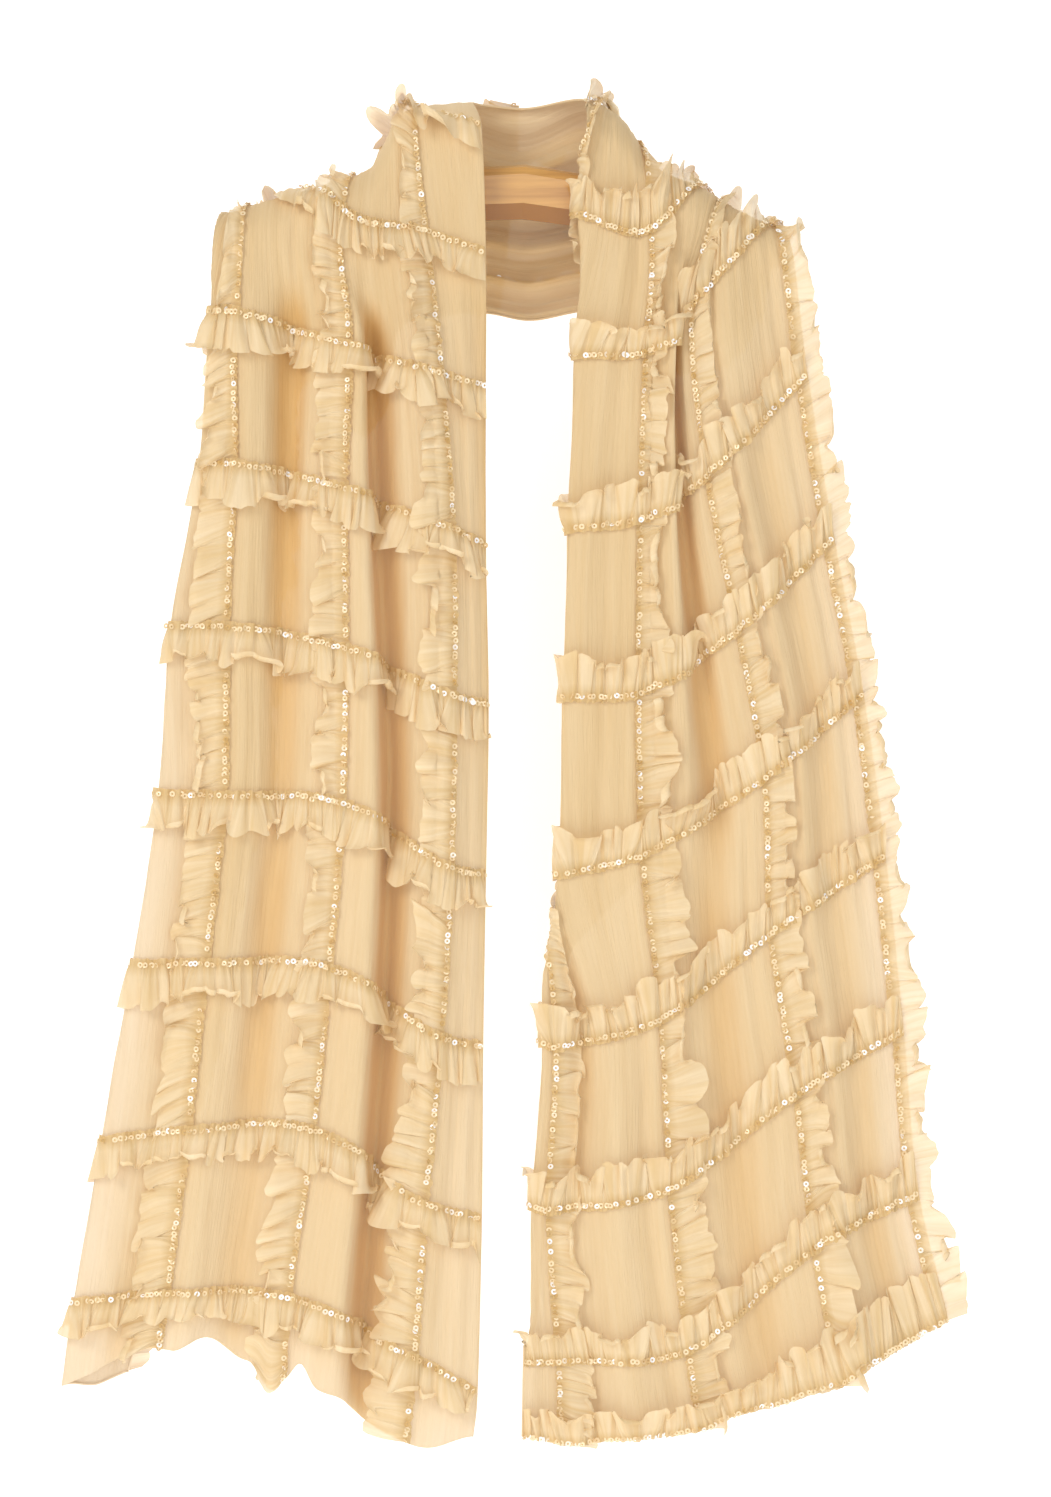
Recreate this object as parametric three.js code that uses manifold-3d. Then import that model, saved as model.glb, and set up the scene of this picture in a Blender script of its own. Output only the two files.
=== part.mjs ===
// An evening stole of crinkled silk chiffon with gathered ruffles, hung round the neck of a wooden hanger.
// Millimetres. +X is right, +Z is up and the front faces -Y. The origin is the hook's bore in the hanger's top.
import * as THREE from "three";
import { mergeVertices } from "three/addons/utils/BufferGeometryUtils.js";
import Module from "manifold-3d";

// Driving sizes of the stole.
const STOLE_WIDTH = 410; // from the neck edge to the outer edge
const LINE_PITCH = 119; // cloth between one cross ruffle and the next
const LONG_LINES = [46, 164, 282, 400]; // each lengthwise ruffle's stitching, from the neck edge
const RUFFLE_WIDTH = 27;
const LEFT_HEM = -9.5; // hems and cross ruffles are numbered along the stole, from 0 behind the neck
const RIGHT_HEM = 9.6;
const CLOTH = 1.6; // wall of the stole
const RUFFLE = 1.4; // wall of a ruffle
const SEAM_GAP = 0.3;
const CUT_TOLERANCE = 0.02;
const LEAST_OVERLAP = 0.005; // cubic millimetres
const MOST_CUTS = 3; // cloth that doubles over itself is cut once for each layer

// A short table's rows as objects with named columns.
function tableOf(columns, rows) {
  return rows.map((row) => Object.fromEntries(columns.map((name, i) => [name, row[i]])));
}

// How much cloth is turned under along each edge, as [line, width].
const TURNED_UNDER = {
  neck: [
    [1, 0], [1.5, 38], [2, 70], [3, 98], [4, 105], [5, 100], [6, 90],
    [6.3, 60], [6.6, 30], [7, 27], [8, 20], [8.6, 12], [9, 0],
  ],
  outer: [
    [-9.6, 50], [-9, 54], [-8, 59], [-7, 66], [-6, 74], [-5, 82],
    [-4, 88], [-3, 88], [-2.7, 64], [-2.45, 30], [-2.28, 0],
  ],
};

// Where each cross ruffle runs: [x, height] at the neck edge, at three lengthwise ruffles and at the outer edge.
// A height above the ridge goes on over it, measured along the cloth. front and back are the y of the two faces
// that hang there.
const SECTIONS = tableOf(["line", "front", "back", "neck", "first", "second", "third", "outer"], [
  [-9.5, -19, 29, [-38, -912], [-87, -915], [-174, -866], [-263, -851], [-333, -876]],
  [-9, -20, 29, [-35, -881], [-80, -855], [-170, -813], [-256, -810], [-324, -817]],
  [-8, -22, 29, [-32, -757], [-72, -745], [-152, -693], [-241, -693], [-304, -701]],
  [-7, -23, 28, [-31, -634], [-61, -626], [-140, -577], [-228, -574], [-282, -575]],
  [-6, -24, 27, [-29, -511], [-54, -505], [-131, -459], [-215, -454], [-263, -452]],
  [-5, -27, 26, [-27, -389], [-52, -383], [-129, -348], [-213, -333], [-254, -333]],
  [-4, -28, 25, [-29, -275], [-53, -264], [-130, -234], [-207, -217], [-234, -217]],
  [-3, -29, 25, [-29, -161], [-61, -153], [-127, -132], [-206, -109], [-225, -108]],
  [-2, -28, 27, [-29, -65], [-72, -51], [-131, -35], [-186, 40], [-160, 135]],
  [-1, -27, 41, [-32, 25], [-79, 46], [-94, 132], [-90, 178], [-88, 225]],
  [-0.45, -7, 39, [-37, 59], [-60, 84], [-50, 140], [-46, 180], [-44, 222]],
  [0, 23, 41, [-8, 53], [-10, 88], [-14, 128], [-18, 168], [-22, 207]],
  [0.45, -7, 39, [38, 63], [60, 88], [50, 145], [46, 185], [44, 226]],
  [1, -27, 41, [43, 45], [54, 62], [70, 115], [76, 143], [76, 190]],
  [2, -28, 27, [37, -38], null, [90, -48], [143, 26], [150, 92]],
  [3, -29, 25, [34, -139], null, [86, -137], [119, -104], [184, -27]],
  [4, -28, 25, [30, -263], null, [82, -256], [130, -225], [201, -152]],
  [5, -27, 26, [26, -383], null, [81, -380], [152, -335], [220, -269]],
  [6, -24, 27, [22, -510], null, [84, -495], [171, -441], [241, -380]],
  [7, -23, 28, [12, -630], [22, -633], [97, -613], [176, -552], [257, -496]],
  [8, -22, 29, [4, -747], [17, -750], [104, -734], [194, -667], [270, -621]],
  [9, -20, 29, [-1, -859], [24, -858], [117, -850], [207, -777], [281, -738]],
  [9.6, -19, 29, [-2, -912], [26, -915], [126, -907], [225, -871], [302, -828]],
]);

// The top outline of the hung stole: over both arms of the hanger and round the collar.
const RIDGE = [
  { x: -211, top: -34 },
  { x: -190, top: -27 },
  { x: -163, top: -20 },
  { x: -140, top: -12 },
  { x: -112, top: -2 },
  { x: -101, top: 18 },
  { x: -92, top: 36 },
  { x: -76, top: 42 },
  { x: -40, top: 47 },
  { x: 0, top: 46 },
  { x: 42, top: 50 },
  { x: 58, top: 42 },
  { x: 72, top: 31 },
  { x: 90, top: 3 },
  { x: 106, top: -8 },
  { x: 125, top: -15 },
  { x: 150, top: -31 },
  { x: 171, top: -41 },
  { x: 201, top: -53 },
];

// Folds that run along the stole, each between two lines. across is the crest's distance from the neck edge,
// lift is how far it stands out of the cloth (or in, below zero) and lean is how far its crest is pushed along x.
const FOLDS = tableOf(["name", "line", "across", "half", "lift", "lean"], [
  ["deep valley of the left front", [-2.4, -9.8], [129, 86], [25, 25], [-28, -22], [-8, 0]],
  ["lobe left of the deep valley", [-2.2, -9.8], [160, 118], [26, 28], [10, 7], [3, 3]],
  ["second valley of the left front", [-2.4, -8.4], [222, 232], [28, 30], [-19, -4], [0, 0]],
  ["lobe at the left neck edge", [-1.8, -9.8], [72, 42], [42, 40], [9, 8], [0, 0]],
  ["rolled back left neck edge", [-1.2, -8.6], [0, 0], [26, 22], [-9, -3], [0, 0]],
  ["lobe at the left side", [-2.5, -9.8], [266, 272], [34, 36], [7, 6], [0, 0]],
  ["shallow valley above the left hem", [-6, -9.9], [226, 214], [30, 32], [-2, -9], [0, 0]],
  ["lobe beside the right pleat", [2.3, 6.2], [201, 201], [26, 26], [9, 4], [10, 3]],
  ["deep pleat of the right front", [2.4, 6.6], [238, 232], [28, 28], [-27, -9], [0, 0]],
  ["lobe at the right side", [2.6, 9.2], [330, 330], [48, 48], [8, 4], [0, 0]],
  ["small pleat at the right neck edge", [6.2, 8.4], [74, 72], [24, 26], [-13, -5], [0, 0]],
  ["low valley of the right front", [6, 9.9], [222, 226], [32, 34], [-9, -7], [0, 0]],
  ["low lobe of the right front", [6.8, 9.9], [116, 108], [32, 32], [6, 6], [0, 0]],
  ["valley at the right side", [3.6, 9.9], [346, 350], [26, 28], [-9, -7], [0, 0]],
]);
const FOLD_FADE = 0.7; // lines over which a fold begins and ends
const TURNED_SLOPE = 0.25; // how steeply turned cloth goes on, as a share of the front's own slope

// Folds of the swag behind the neck, where the cloth is gathered.
const SWAG_FOLDS = { start: 24, period: 82, lift: 8, widest: 0.45, ends: 0.95 };

// The turned edges: how tightly they roll, and how far the turned cloth hangs behind.
const ROLL = { radius: 4, gap: 7, spread: 0.18, least: 4, full: 16, overArm: 2.8 };

// A fold that goes inward starts only below the hanger's arm.
const ARM_CLEAR = { start: -52, full: -130 };

// The hanger's bar, cut at these distances from its middle.
const HANGER_SECTIONS = [
  { x: 0, top: 0, height: 39, depth: 17, forward: 0 },
  { x: 37, top: -4, height: 38, depth: 17, forward: 0 },
  { x: 80, top: -11, height: 34, depth: 17, forward: 0 },
  { x: 120, top: -20, height: 30, depth: 17, forward: 0 },
  { x: 150, top: -31, height: 26, depth: 17, forward: 1 },
  { x: 172, top: -42, height: 21, depth: 16, forward: 2 },
  { x: 183, top: -49, height: 16, depth: 13, forward: 2 },
  { x: 189, top: -55, height: 8, depth: 8, forward: 2 },
];
const HANGER = { tilt: 3, edgeRound: 7, bore: 4, boreDepth: 15 };
// The slanted face along the bar's lower front, as shares of the bar's height and depth.
const BEVEL = { height: 0.28, depth: 0.45 };

const CLOTH_COLOUR = 0xe8cda0;
const RUFFLE_COLOUR = 0xf0d7a8;
const WOOD_COLOUR = 0xd79b50;

function clamp(value, low, high) {
  return Math.min(high, Math.max(low, value));
}

function smoothStep(value) {
  const t = clamp(value, 0, 1);
  return t * t * (3 - 2 * t);
}

function mix(a, b, share) {
  return a + (b - a) * share;
}

// A smooth curve through the stations, given by their places and values, and straight beyond the ends.
function alongStations(places, values, at) {
  const last = places.length - 1;
  const slope = (i) => {
    const before = Math.max(i - 1, 0);
    const after = Math.min(i + 1, last);
    return (values[after] - values[before]) / (places[after] - places[before]);
  };
  if (at <= places[0]) return values[0] + slope(0) * (at - places[0]);
  if (at >= places[last]) return values[last] + slope(last) * (at - places[last]);
  let i = 0;
  while (at > places[i + 1]) i += 1;
  const span = places[i + 1] - places[i];
  const t = (at - places[i]) / span;
  const bend = t * t * (3 - 2 * t);
  const leave = t * (1 - t) * (1 - t) * span;
  const arrive = t * t * (1 - t) * span;
  return mix(values[i], values[i + 1], bend) + slope(i) * leave - slope(i + 1) * arrive;
}

function byLine(name, line) {
  const places = SECTIONS.map((s) => s.line);
  const values = SECTIONS.map((s) => s[name]);
  return alongStations(places, values, line);
}

// The width of cloth turned under along the neck edge or the outer edge.
function tuckedAt(edge, line) {
  const rows = TURNED_UNDER[edge];
  const places = rows.map(([place]) => place);
  const values = rows.map(([, width]) => width);
  const at = clamp(line, places[0], places[places.length - 1]);
  return Math.max(alongStations(places, values, at), 0);
}

function ridgeTop(x) {
  const places = RIDGE.map((r) => r.x);
  const values = RIDGE.map((r) => r.top);
  return alongStations(places, values, clamp(x, places[0], places[places.length - 1]));
}

// One section's x and height at a distance across the cloth.
function onSection(section, across) {
  const places = [tuckedAt("neck", section.line)];
  const points = [section.neck];
  if (section.first) {
    places.push(LONG_LINES[0]);
    points.push(section.first);
  }
  places.push(LONG_LINES[1], LONG_LINES[2], STOLE_WIDTH - tuckedAt("outer", section.line));
  points.push(section.second, section.third, section.outer);
  // Cloth turned under goes on less steeply than the front beside it.
  const held = Math.max(across, places[0]) - Math.max(places[0] - across, 0) * TURNED_SLOPE;
  return [0, 1].map((i) => alongStations(places, points.map((p) => p[i]), held));
}

// The flat drape's x and height: the four nearest sections, joined smoothly along the stole.
function drapedAt(across, line) {
  let i = 1;
  while (i < SECTIONS.length - 3 && line > SECTIONS[i + 1].line) i += 1;
  const near = SECTIONS.slice(i - 1, i + 3);
  const places = near.map((s) => s.line);
  const points = near.map((s) => onSection(s, across));
  return [0, 1].map((axis) => alongStations(places, points.map((p) => p[axis]), line));
}

// The folds where the two edges are turned under, and how fully each is turned.
function turnedEdges(line) {
  const share = (tucked) => smoothStep((tucked - ROLL.least) / (ROLL.full - ROLL.least));
  const inner = tuckedAt("neck", line);
  const outer = tuckedAt("outer", line);
  return [
    { side: 1, fold: inner, share: share(inner) },
    { side: -1, fold: STOLE_WIDTH - outer, share: share(outer) },
  ];
}

// Turned edges: where on the front the turned cloth lies, how far behind it hangs and how much of that is sag.
function turnedUnder(across, line) {
  let place = across;
  let behind = 0;
  let sag = 0;
  for (const { side, fold, share } of turnedEdges(line)) {
    if (share === 0) continue;
    const past = side * (across - fold);
    const radius = ROLL.radius * share;
    if (past < 2 * radius) {
      const away = Math.abs(past);
      place = fold + side * away * smoothStep(away / (2 * radius));
    }
    const turn = clamp(past / radius, -1, 1) * (Math.PI / 2);
    behind += ROLL.gap * share * 0.5 * (1 - Math.sin(turn));
    sag += ROLL.spread * Math.max(-past, 0);
  }
  return { place, behind, sag };
}

// Below the hanger's arm there is room behind the front.
function belowArm(height) {
  return smoothStep((ARM_CLEAR.start - height) / (ARM_CLEAR.start - ARM_CLEAR.full));
}

function foldsAt(across, line, height) {
  let lift = 0;
  let lean = 0;
  for (const fold of FOLDS) {
    const [start, end] = fold.line;
    const along = (line - start) / (end - start);
    if (along <= 0 || along >= 1) continue;
    const fade = FOLD_FADE / Math.abs(end - start);
    const share = smoothStep(along / fade) * smoothStep((1 - along) / fade);
    const away = (across - mix(...fold.across, along)) / mix(...fold.half, along);
    if (Math.abs(away) >= 1) continue;
    const bell = share * Math.cos((away * Math.PI) / 2) ** 2;
    const out = mix(...fold.lift, along);
    const clear = out < 0 ? belowArm(height) : 1;
    lift += out * clear * bell;
    lean += mix(...fold.lean, along) * clear * bell;
  }
  const { start, period, lift: wave, widest, ends } = SWAG_FOLDS;
  const gathered = smoothStep((ends - Math.abs(line)) / (ends - widest));
  const inside = smoothStep(across / start) * smoothStep((STOLE_WIDTH - across) / start);
  lift += wave * gathered * inside * Math.sin((2 * Math.PI * (across - start)) / period);
  return { lift, lean };
}

// The middle of the stole's wall, at a distance across from the neck edge and a place along the stole.
function clothPoint(across, line) {
  const { place, behind, sag } = turnedUnder(across, line);
  const [flatX, height] = drapedAt(place, line);
  const { lift, lean } = foldsAt(across, line, height);
  const x = flatX + lean;
  const front = byLine("front", line);
  const back = byLine("back", line);
  const radius = (back - front) / 2;
  const middle = (back + front) / 2;
  const shoulder = ridgeTop(flatX) - radius;
  const over = clamp((height - shoulder) / radius, 0, Math.PI);
  const crest = Math.sin(over);
  const outward = new THREE.Vector3(0, -Math.cos(over), crest);
  const down = height < shoulder ? shoulder - height : Math.max(height - shoulder - Math.PI * radius, 0);
  const onTop = lift < 0 ? lift * (1 - crest) ** 2 : lift * (1 - 0.4 * crest);
  const point = new THREE.Vector3(x, middle - radius * Math.cos(over), shoulder + radius * crest - down);
  const turned = mix(behind, Math.min(behind, ROLL.overArm), crest) + sag * belowArm(height);
  return point.addScaledVector(outward, onTop - turned);
}

// The cloth goes straight on past its outer edge, for the ruffle that overhangs it.
const EDGE_REACH = 5;
function extendedPoint(across, line) {
  if (across <= STOLE_WIDTH) return clothPoint(across, line);
  const edge = clothPoint(STOLE_WIDTH, line);
  const inner = clothPoint(STOLE_WIDTH - EDGE_REACH, line);
  return edge.clone().addScaledVector(edge.sub(inner).normalize(), across - STOLE_WIDTH);
}

// A closed wall from a grid of points: rows of { middle, inner, outer }. Each face is split along the shorter
// diagonal of the cloth itself, so that a piece that lies on another is split in the same way.
function wallGeometry(rows) {
  const rowCount = rows.length;
  const columnCount = rows[0].length;
  const positions = [];
  for (const side of ["outer", "inner"]) {
    for (const row of rows) {
      for (const pair of row) positions.push(...pair[side].toArray());
    }
  }
  const index = [];
  const quad = (a, b, c, d, other) => {
    if (other) index.push(a, d, b, b, d, c);
    else index.push(a, c, b, a, d, c);
  };
  const spanOf = (r, c, r2, c2) => rows[r][c].middle.distanceTo(rows[r2][c2].middle);
  const outer = (row, column) => row * columnCount + column;
  const inner = (row, column) => rowCount * columnCount + outer(row, column);
  for (let r = 0; r + 1 < rowCount; r += 1) {
    for (let c = 0; c + 1 < columnCount; c += 1) {
      const other = spanOf(r, c + 1, r + 1, c) < spanOf(r, c, r + 1, c + 1);
      quad(outer(r, c), outer(r, c + 1), outer(r + 1, c + 1), outer(r + 1, c), other);
      quad(inner(r, c), inner(r + 1, c), inner(r + 1, c + 1), inner(r, c + 1), other);
    }
    const end = columnCount - 1;
    quad(outer(r, 0), outer(r + 1, 0), inner(r + 1, 0), inner(r, 0));
    quad(outer(r, end), inner(r, end), inner(r + 1, end), outer(r + 1, end));
  }
  for (let c = 0; c + 1 < columnCount; c += 1) {
    const end = rowCount - 1;
    quad(outer(0, c), inner(0, c), inner(0, c + 1), outer(0, c + 1));
    quad(outer(end, c), outer(end, c + 1), inner(end, c + 1), inner(end, c));
  }
  const geometry = new THREE.BufferGeometry();
  geometry.setAttribute("position", new THREE.Float32BufferAttribute(positions, 3));
  geometry.setIndex(index);
  geometry.computeVertexNormals();
  return geometry;
}

const wasm = await Module();
wasm.setup();

function toSolid(geometry) {
  const bare = geometry.index ? geometry.toNonIndexed() : geometry.clone();
  bare.deleteAttribute("normal");
  bare.deleteAttribute("uv");
  const merged = mergeVertices(bare, 1e-4);
  return new wasm.Manifold(
    new wasm.Mesh({
      numProp: 3,
      vertProperties: merged.attributes.position.array,
      triVerts: new Uint32Array(merged.index.array),
    }),
  );
}

function toGeometry(solid) {
  const mesh = solid.getMesh();
  const geometry = new THREE.BufferGeometry();
  geometry.setAttribute("position", new THREE.BufferAttribute(mesh.vertProperties, mesh.numProp));
  geometry.setIndex(new THREE.BufferAttribute(mesh.triVerts, 1));
  geometry.computeVertexNormals();
  return geometry;
}

const group = new THREE.Group();
const placed = [];

// Adds a wall of cloth to the group. Where it would run into a piece that is already there, it is cut back to the
// seam gap.
function addWall(name, rows, colour) {
  let solid = toSolid(wallGeometry(rows));
  for (const other of placed) {
    for (let cut = 0; cut < MOST_CUTS && solid.intersect(other.solid).volume() > LEAST_OVERLAP; cut += 1) {
      solid = largestBody(solid.subtract(other.withGap));
    }
  }
  placed.push({ solid, withGap: toSolid(wallGeometry(grownRows(rows))) });
  const material = new THREE.MeshStandardMaterial({ color: colour, roughness: 0.85, metalness: 0 });
  const mesh = new THREE.Mesh(toGeometry(solid), material);
  mesh.name = name;
  group.add(mesh);
}

// The same wall, thicker, wider and longer by the seam gap all round.
function grownRows(rows) {
  const lastRow = rows.length - 1;
  const lastColumn = rows[0].length - 1;
  const pastEnd = (r, c, r2, c2) => rows[r][c].middle.clone().sub(rows[r2][c2].middle).setLength(SEAM_GAP);
  return rows.map((row, r) => row.map(({ middle, inner, outer }, c) => {
    const gap = outer.clone().sub(inner).setLength(SEAM_GAP);
    const shift = new THREE.Vector3();
    if (r === 0) shift.add(pastEnd(0, c, 1, c));
    if (r === lastRow) shift.add(pastEnd(r, c, r - 1, c));
    if (c === 0) shift.add(pastEnd(r, 0, r, 1));
    if (c === lastColumn) shift.add(pastEnd(r, c, r, c - 1));
    return { middle, inner: inner.clone().sub(gap).add(shift), outer: outer.clone().add(gap).add(shift) };
  }));
}

// A cut can leave crumbs, which are dropped.
function largestBody(solid) {
  const bodies = solid.decompose();
  return bodies.reduce((most, body) => (body.volume() > most.volume() ? body : most)).simplify(CUT_TOLERANCE);
}

// Distances across at which the cloth is sampled: at each lengthwise ruffle's two edges and through the folds.
const COLUMNS = [
  0, 22, 46, 73, 100, 118, 138, 164, 191, 201, 216, 232, 254, 282, 309, 330, 354, 378, 400, 410, 427,
];
const EDGE_COLUMN = COLUMNS.indexOf(STOLE_WIDTH);

// The column that moves to a turned edge's fold, so that the fold is sharp.
function foldColumn(fold) {
  const away = COLUMNS.map((across) => Math.abs(across - fold));
  return away.indexOf(Math.min(...away.slice(1, EDGE_COLUMN)));
}

function columnsAt(line) {
  const columns = [...COLUMNS];
  for (const { fold, share } of turnedEdges(line)) {
    if (share > 0) columns[foldColumn(fold)] = fold;
  }
  return columns;
}

// The first and the last column that a cross ruffle needs: it ends where the cloth is turned under.
function shownColumns(lines) {
  let first = 0;
  let last = EDGE_COLUMN;
  for (const line of lines) {
    const [inner, outer] = turnedEdges(line);
    if (inner.share > 0) first = Math.max(first, foldColumn(inner.fold));
    if (outer.share > 0) last = Math.min(last, foldColumn(outer.fold));
  }
  return [first, last];
}

// Places along the stole at which it is sampled: at each cross ruffle's two edges, and closer over the shoulders.
const FREE_EDGE = RUFFLE_WIDTH / LINE_PITCH;
const STRETCHES = {
  left: { from: LEFT_HEM, to: -1, crosses: [-2, -3, -4, -5, -6, -7, -8, -9] },
  neck: { from: -1, to: 1, crosses: [-1, 0, 1] },
  right: { from: 1, to: RIGHT_HEM, crosses: [2, 3, 4, 5, 6, 7, 8, 9] },
};
// Three lengthwise ruffles show for part of a stretch only, and are turned under for the rest.
const SHOWN_PART = {
  ruffle_long_1_neck: { to: 1 - FREE_EDGE },
  ruffle_long_4_left: { from: -2 - FREE_EDGE },
  ruffle_long_1_right: { from: 7 - FREE_EDGE },
};
const BETWEEN_ROWS = {
  left: [-2.84, -2.66, -2.48, -1.84, -1.62, -1.4],
  neck: [-0.5, 0.3, 0.5],
  right: [1.15, 1.3, 1.45, 1.6, 2.25, 2.5, 6.5],
};

const ROWS = allRows();

function allRows() {
  const rows = new Set([LEFT_HEM, RIGHT_HEM, RIGHT_HEM - FREE_EDGE]);
  for (let line = -9; line <= 9; line += 1) {
    rows.add(line);
    rows.add(line - FREE_EDGE);
  }
  for (const line of Object.values(BETWEEN_ROWS).flat()) rows.add(line);
  return [...rows].sort((a, b) => a - b);
}

function rowsOf({ from, to }) {
  return ROWS.filter((line) => line >= from && line <= to);
}

// The sampled cloth: a point and the direction in which the right side faces, for each row and column.
const SAMPLED = new Map(ROWS.map((line) => [
  line,
  columnsAt(line).map((across) => extendedPoint(across, line)),
]));

function sampledPoint(row, column) {
  return SAMPLED.get(ROWS[clamp(row, 0, ROWS.length - 1)])[clamp(column, 0, COLUMNS.length - 1)];
}

function directionThrough(before, point, after) {
  const arrive = point.clone().sub(before).normalize();
  const leave = after.clone().sub(point).normalize();
  return arrive.add(leave).normalize();
}

function alongStole(line, column) {
  const row = ROWS.indexOf(line);
  return directionThrough(sampledPoint(row - 1, column), sampledPoint(row, column), sampledPoint(row + 1, column));
}

function facing(line, column) {
  const row = ROWS.indexOf(line);
  const before = sampledPoint(row, column - 1);
  const acrossStole = directionThrough(before, sampledPoint(row, column), sampledPoint(row, column + 1));
  return alongStole(line, column).cross(acrossStole).normalize();
}

// Neighbouring stretches stop half a seam gap short of the line where they meet.
function seamShift(line, stretch) {
  if (line === stretch.from && line !== LEFT_HEM) return SEAM_GAP / 2;
  if (line === stretch.to && line !== RIGHT_HEM) return -SEAM_GAP / 2;
  return 0;
}

// A point of the stole and of a wall's two faces, low and high above the middle of the stole's wall. shift moves
// all three along the stole.
function pairAt(line, column, low, high, shift = 0) {
  const point = SAMPLED.get(line)[column].clone().addScaledVector(alongStole(line, column), shift);
  const out = facing(line, column);
  return {
    middle: point,
    inner: point.clone().addScaledVector(out, low),
    outer: point.clone().addScaledVector(out, high),
  };
}

function stolePanel(name, stretch) {
  const rows = rowsOf(stretch).map((line) => {
    const shift = seamShift(line, stretch);
    const pairs = COLUMNS.map((_, column) => pairAt(line, column, -CLOTH / 2, CLOTH / 2, shift));
    return pairs.slice(0, EDGE_COLUMN + 1);
  });
  addWall(name, rows, CLOTH_COLOUR);
}

// A ruffle stands less far off the cloth in a valley than on a lobe, and lies flat in one as deep as this.
const CROWDED_DEPTH = 14;
function roomToLift(line, column) {
  const { lift } = foldsAt(COLUMNS[column], line, ARM_CLEAR.full);
  return clamp(1 + lift / CROWDED_DEPTH, 0, 1);
}

const ROOT = CLOTH / 2 + SEAM_GAP + 0.2; // a sewn ruffle's inner face over the middle of the stole's wall
const LONG_FREE_LIFT = 1.5;
const CROSS_FREE_LIFT = [3, 7]; // in turn, so that the free edge waves
const NECK_FREE_LIFT = [1, 2]; // round the neck the cloth is crowded and the ruffles lie flatter
// Two cross ruffles bridge the right front's deep pleat.
const PLEAT_MOUTH = { lines: [3, 4], across: [216, 232, 254] };
const OVER_LONG = RUFFLE + SEAM_GAP + 0.2; // how far a cross ruffle rises over a lengthwise one

// A lengthwise ruffle runs from its stitching to its free edge, towards the stole's outer edge.
function longRuffle(name, across, stretch) {
  const root = COLUMNS.indexOf(across);
  const edge = COLUMNS.indexOf(across + RUFFLE_WIDTH, root);
  const rows = rowsOf(stretch).map((line) => {
    const shift = seamShift(line, stretch);
    return COLUMNS.slice(root, edge + 1).map((place, i) => {
      const share = (place - across) / RUFFLE_WIDTH;
      const low = ROOT + share * LONG_FREE_LIFT * roomToLift(line, root + i);
      return pairAt(line, root + i, low, low + RUFFLE, shift);
    });
  });
  addWall(name, rows, RUFFLE_COLOUR);
}

// A cross ruffle hangs from its line towards the left end of the stole, over the lengthwise ruffles. It has the
// rows of the cloth beneath it.
function crossRuffle(name, line) {
  const overLong = (across) => LONG_LINES.some((long) => across >= long && across <= long + RUFFLE_WIDTH);
  const lines = rowsOf({ from: line - FREE_EDGE, to: line });
  const [first, last] = shownColumns(lines);
  const freeLift = STRETCHES.neck.crosses.includes(line) ? NECK_FREE_LIFT : CROSS_FREE_LIFT;
  const rows = lines.map((at) => {
    const share = (line - at) / FREE_EDGE;
    const pairs = COLUMNS.map((across, column) => {
      const root = ROOT + (overLong(across) ? OVER_LONG + LONG_FREE_LIFT : 0);
      const low = root + share * freeLift[column % 2] * roomToLift(at, column);
      return pairAt(at, column, low, low + RUFFLE);
    });
    const bridged = PLEAT_MOUTH.lines.includes(line) ? PLEAT_MOUTH.across : [];
    return pairs.slice(first, last + 1).filter((_, i) => !bridged.includes(COLUMNS[first + i]));
  });
  addWall(name, rows, RUFFLE_COLOUR);
}

// The bar's outline where it is cut across, a rectangle with three round edges and a bevel at the lower front.
function barOutline({ x, top, height, depth, forward }, side) {
  const round = Math.min(HANGER.edgeRound, height / 2.2, depth / 2.2);
  const points = [];
  const corners = [
    [1, 1, 0],
    [-1, 1, 90],
    [-1, -1, 180],
    [1, -1, 270],
  ];
  for (const [alongY, alongZ, start] of corners) {
    if (alongY < 0 && alongZ < 0) {
      for (const share of [0, 0.12, 1]) {
        const y = depth * (BEVEL.depth * share - 0.5) - forward;
        const z = top - height * (1 - BEVEL.height * (1 - share));
        points.push(new THREE.Vector3(side * x, y, z));
      }
      continue;
    }
    for (const step of [0, 45, 90]) {
      const angle = THREE.MathUtils.degToRad(start + step);
      const y = alongY * (depth / 2 - round) + round * Math.cos(angle);
      const z = alongZ * (height / 2 - round) + round * Math.sin(angle);
      points.push(new THREE.Vector3(side * x, y - forward, top - height / 2 + z));
    }
  }
  return points;
}

// The hanger's bar, its sections grown by gap.
function hangerBar(gap) {
  const sections = HANGER_SECTIONS.map(({ x, top, height, depth, forward }) => (
    { x: x && x + gap, top: top + gap, height: height + 2 * gap, depth: depth + 2 * gap, forward }));
  const left = sections.slice(1).reverse().map((s) => barOutline(s, -1));
  const right = sections.map((s) => barOutline(s, 1));
  const rings = [...left, ...right];
  const positions = rings.flat().flatMap((p) => p.toArray());
  const size = rings[0].length;
  const index = [];
  for (let r = 0; r + 1 < rings.length; r += 1) {
    for (let i = 0; i < size; i += 1) {
      const next = (i + 1) % size;
      const a = r * size + i;
      const b = r * size + next;
      index.push(a, b, b + size, a, b + size, a + size);
    }
  }
  const lastRing = (rings.length - 1) * size;
  for (let i = 1; i + 1 < size; i += 1) {
    index.push(0, i + 1, i);
    index.push(lastRing, lastRing + i, lastRing + i + 1);
  }
  const bar = new THREE.BufferGeometry();
  bar.setAttribute("position", new THREE.Float32BufferAttribute(positions, 3));
  bar.setIndex(index);
  bar.rotateY(THREE.MathUtils.degToRad(HANGER.tilt));
  return toSolid(bar);
}

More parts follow.
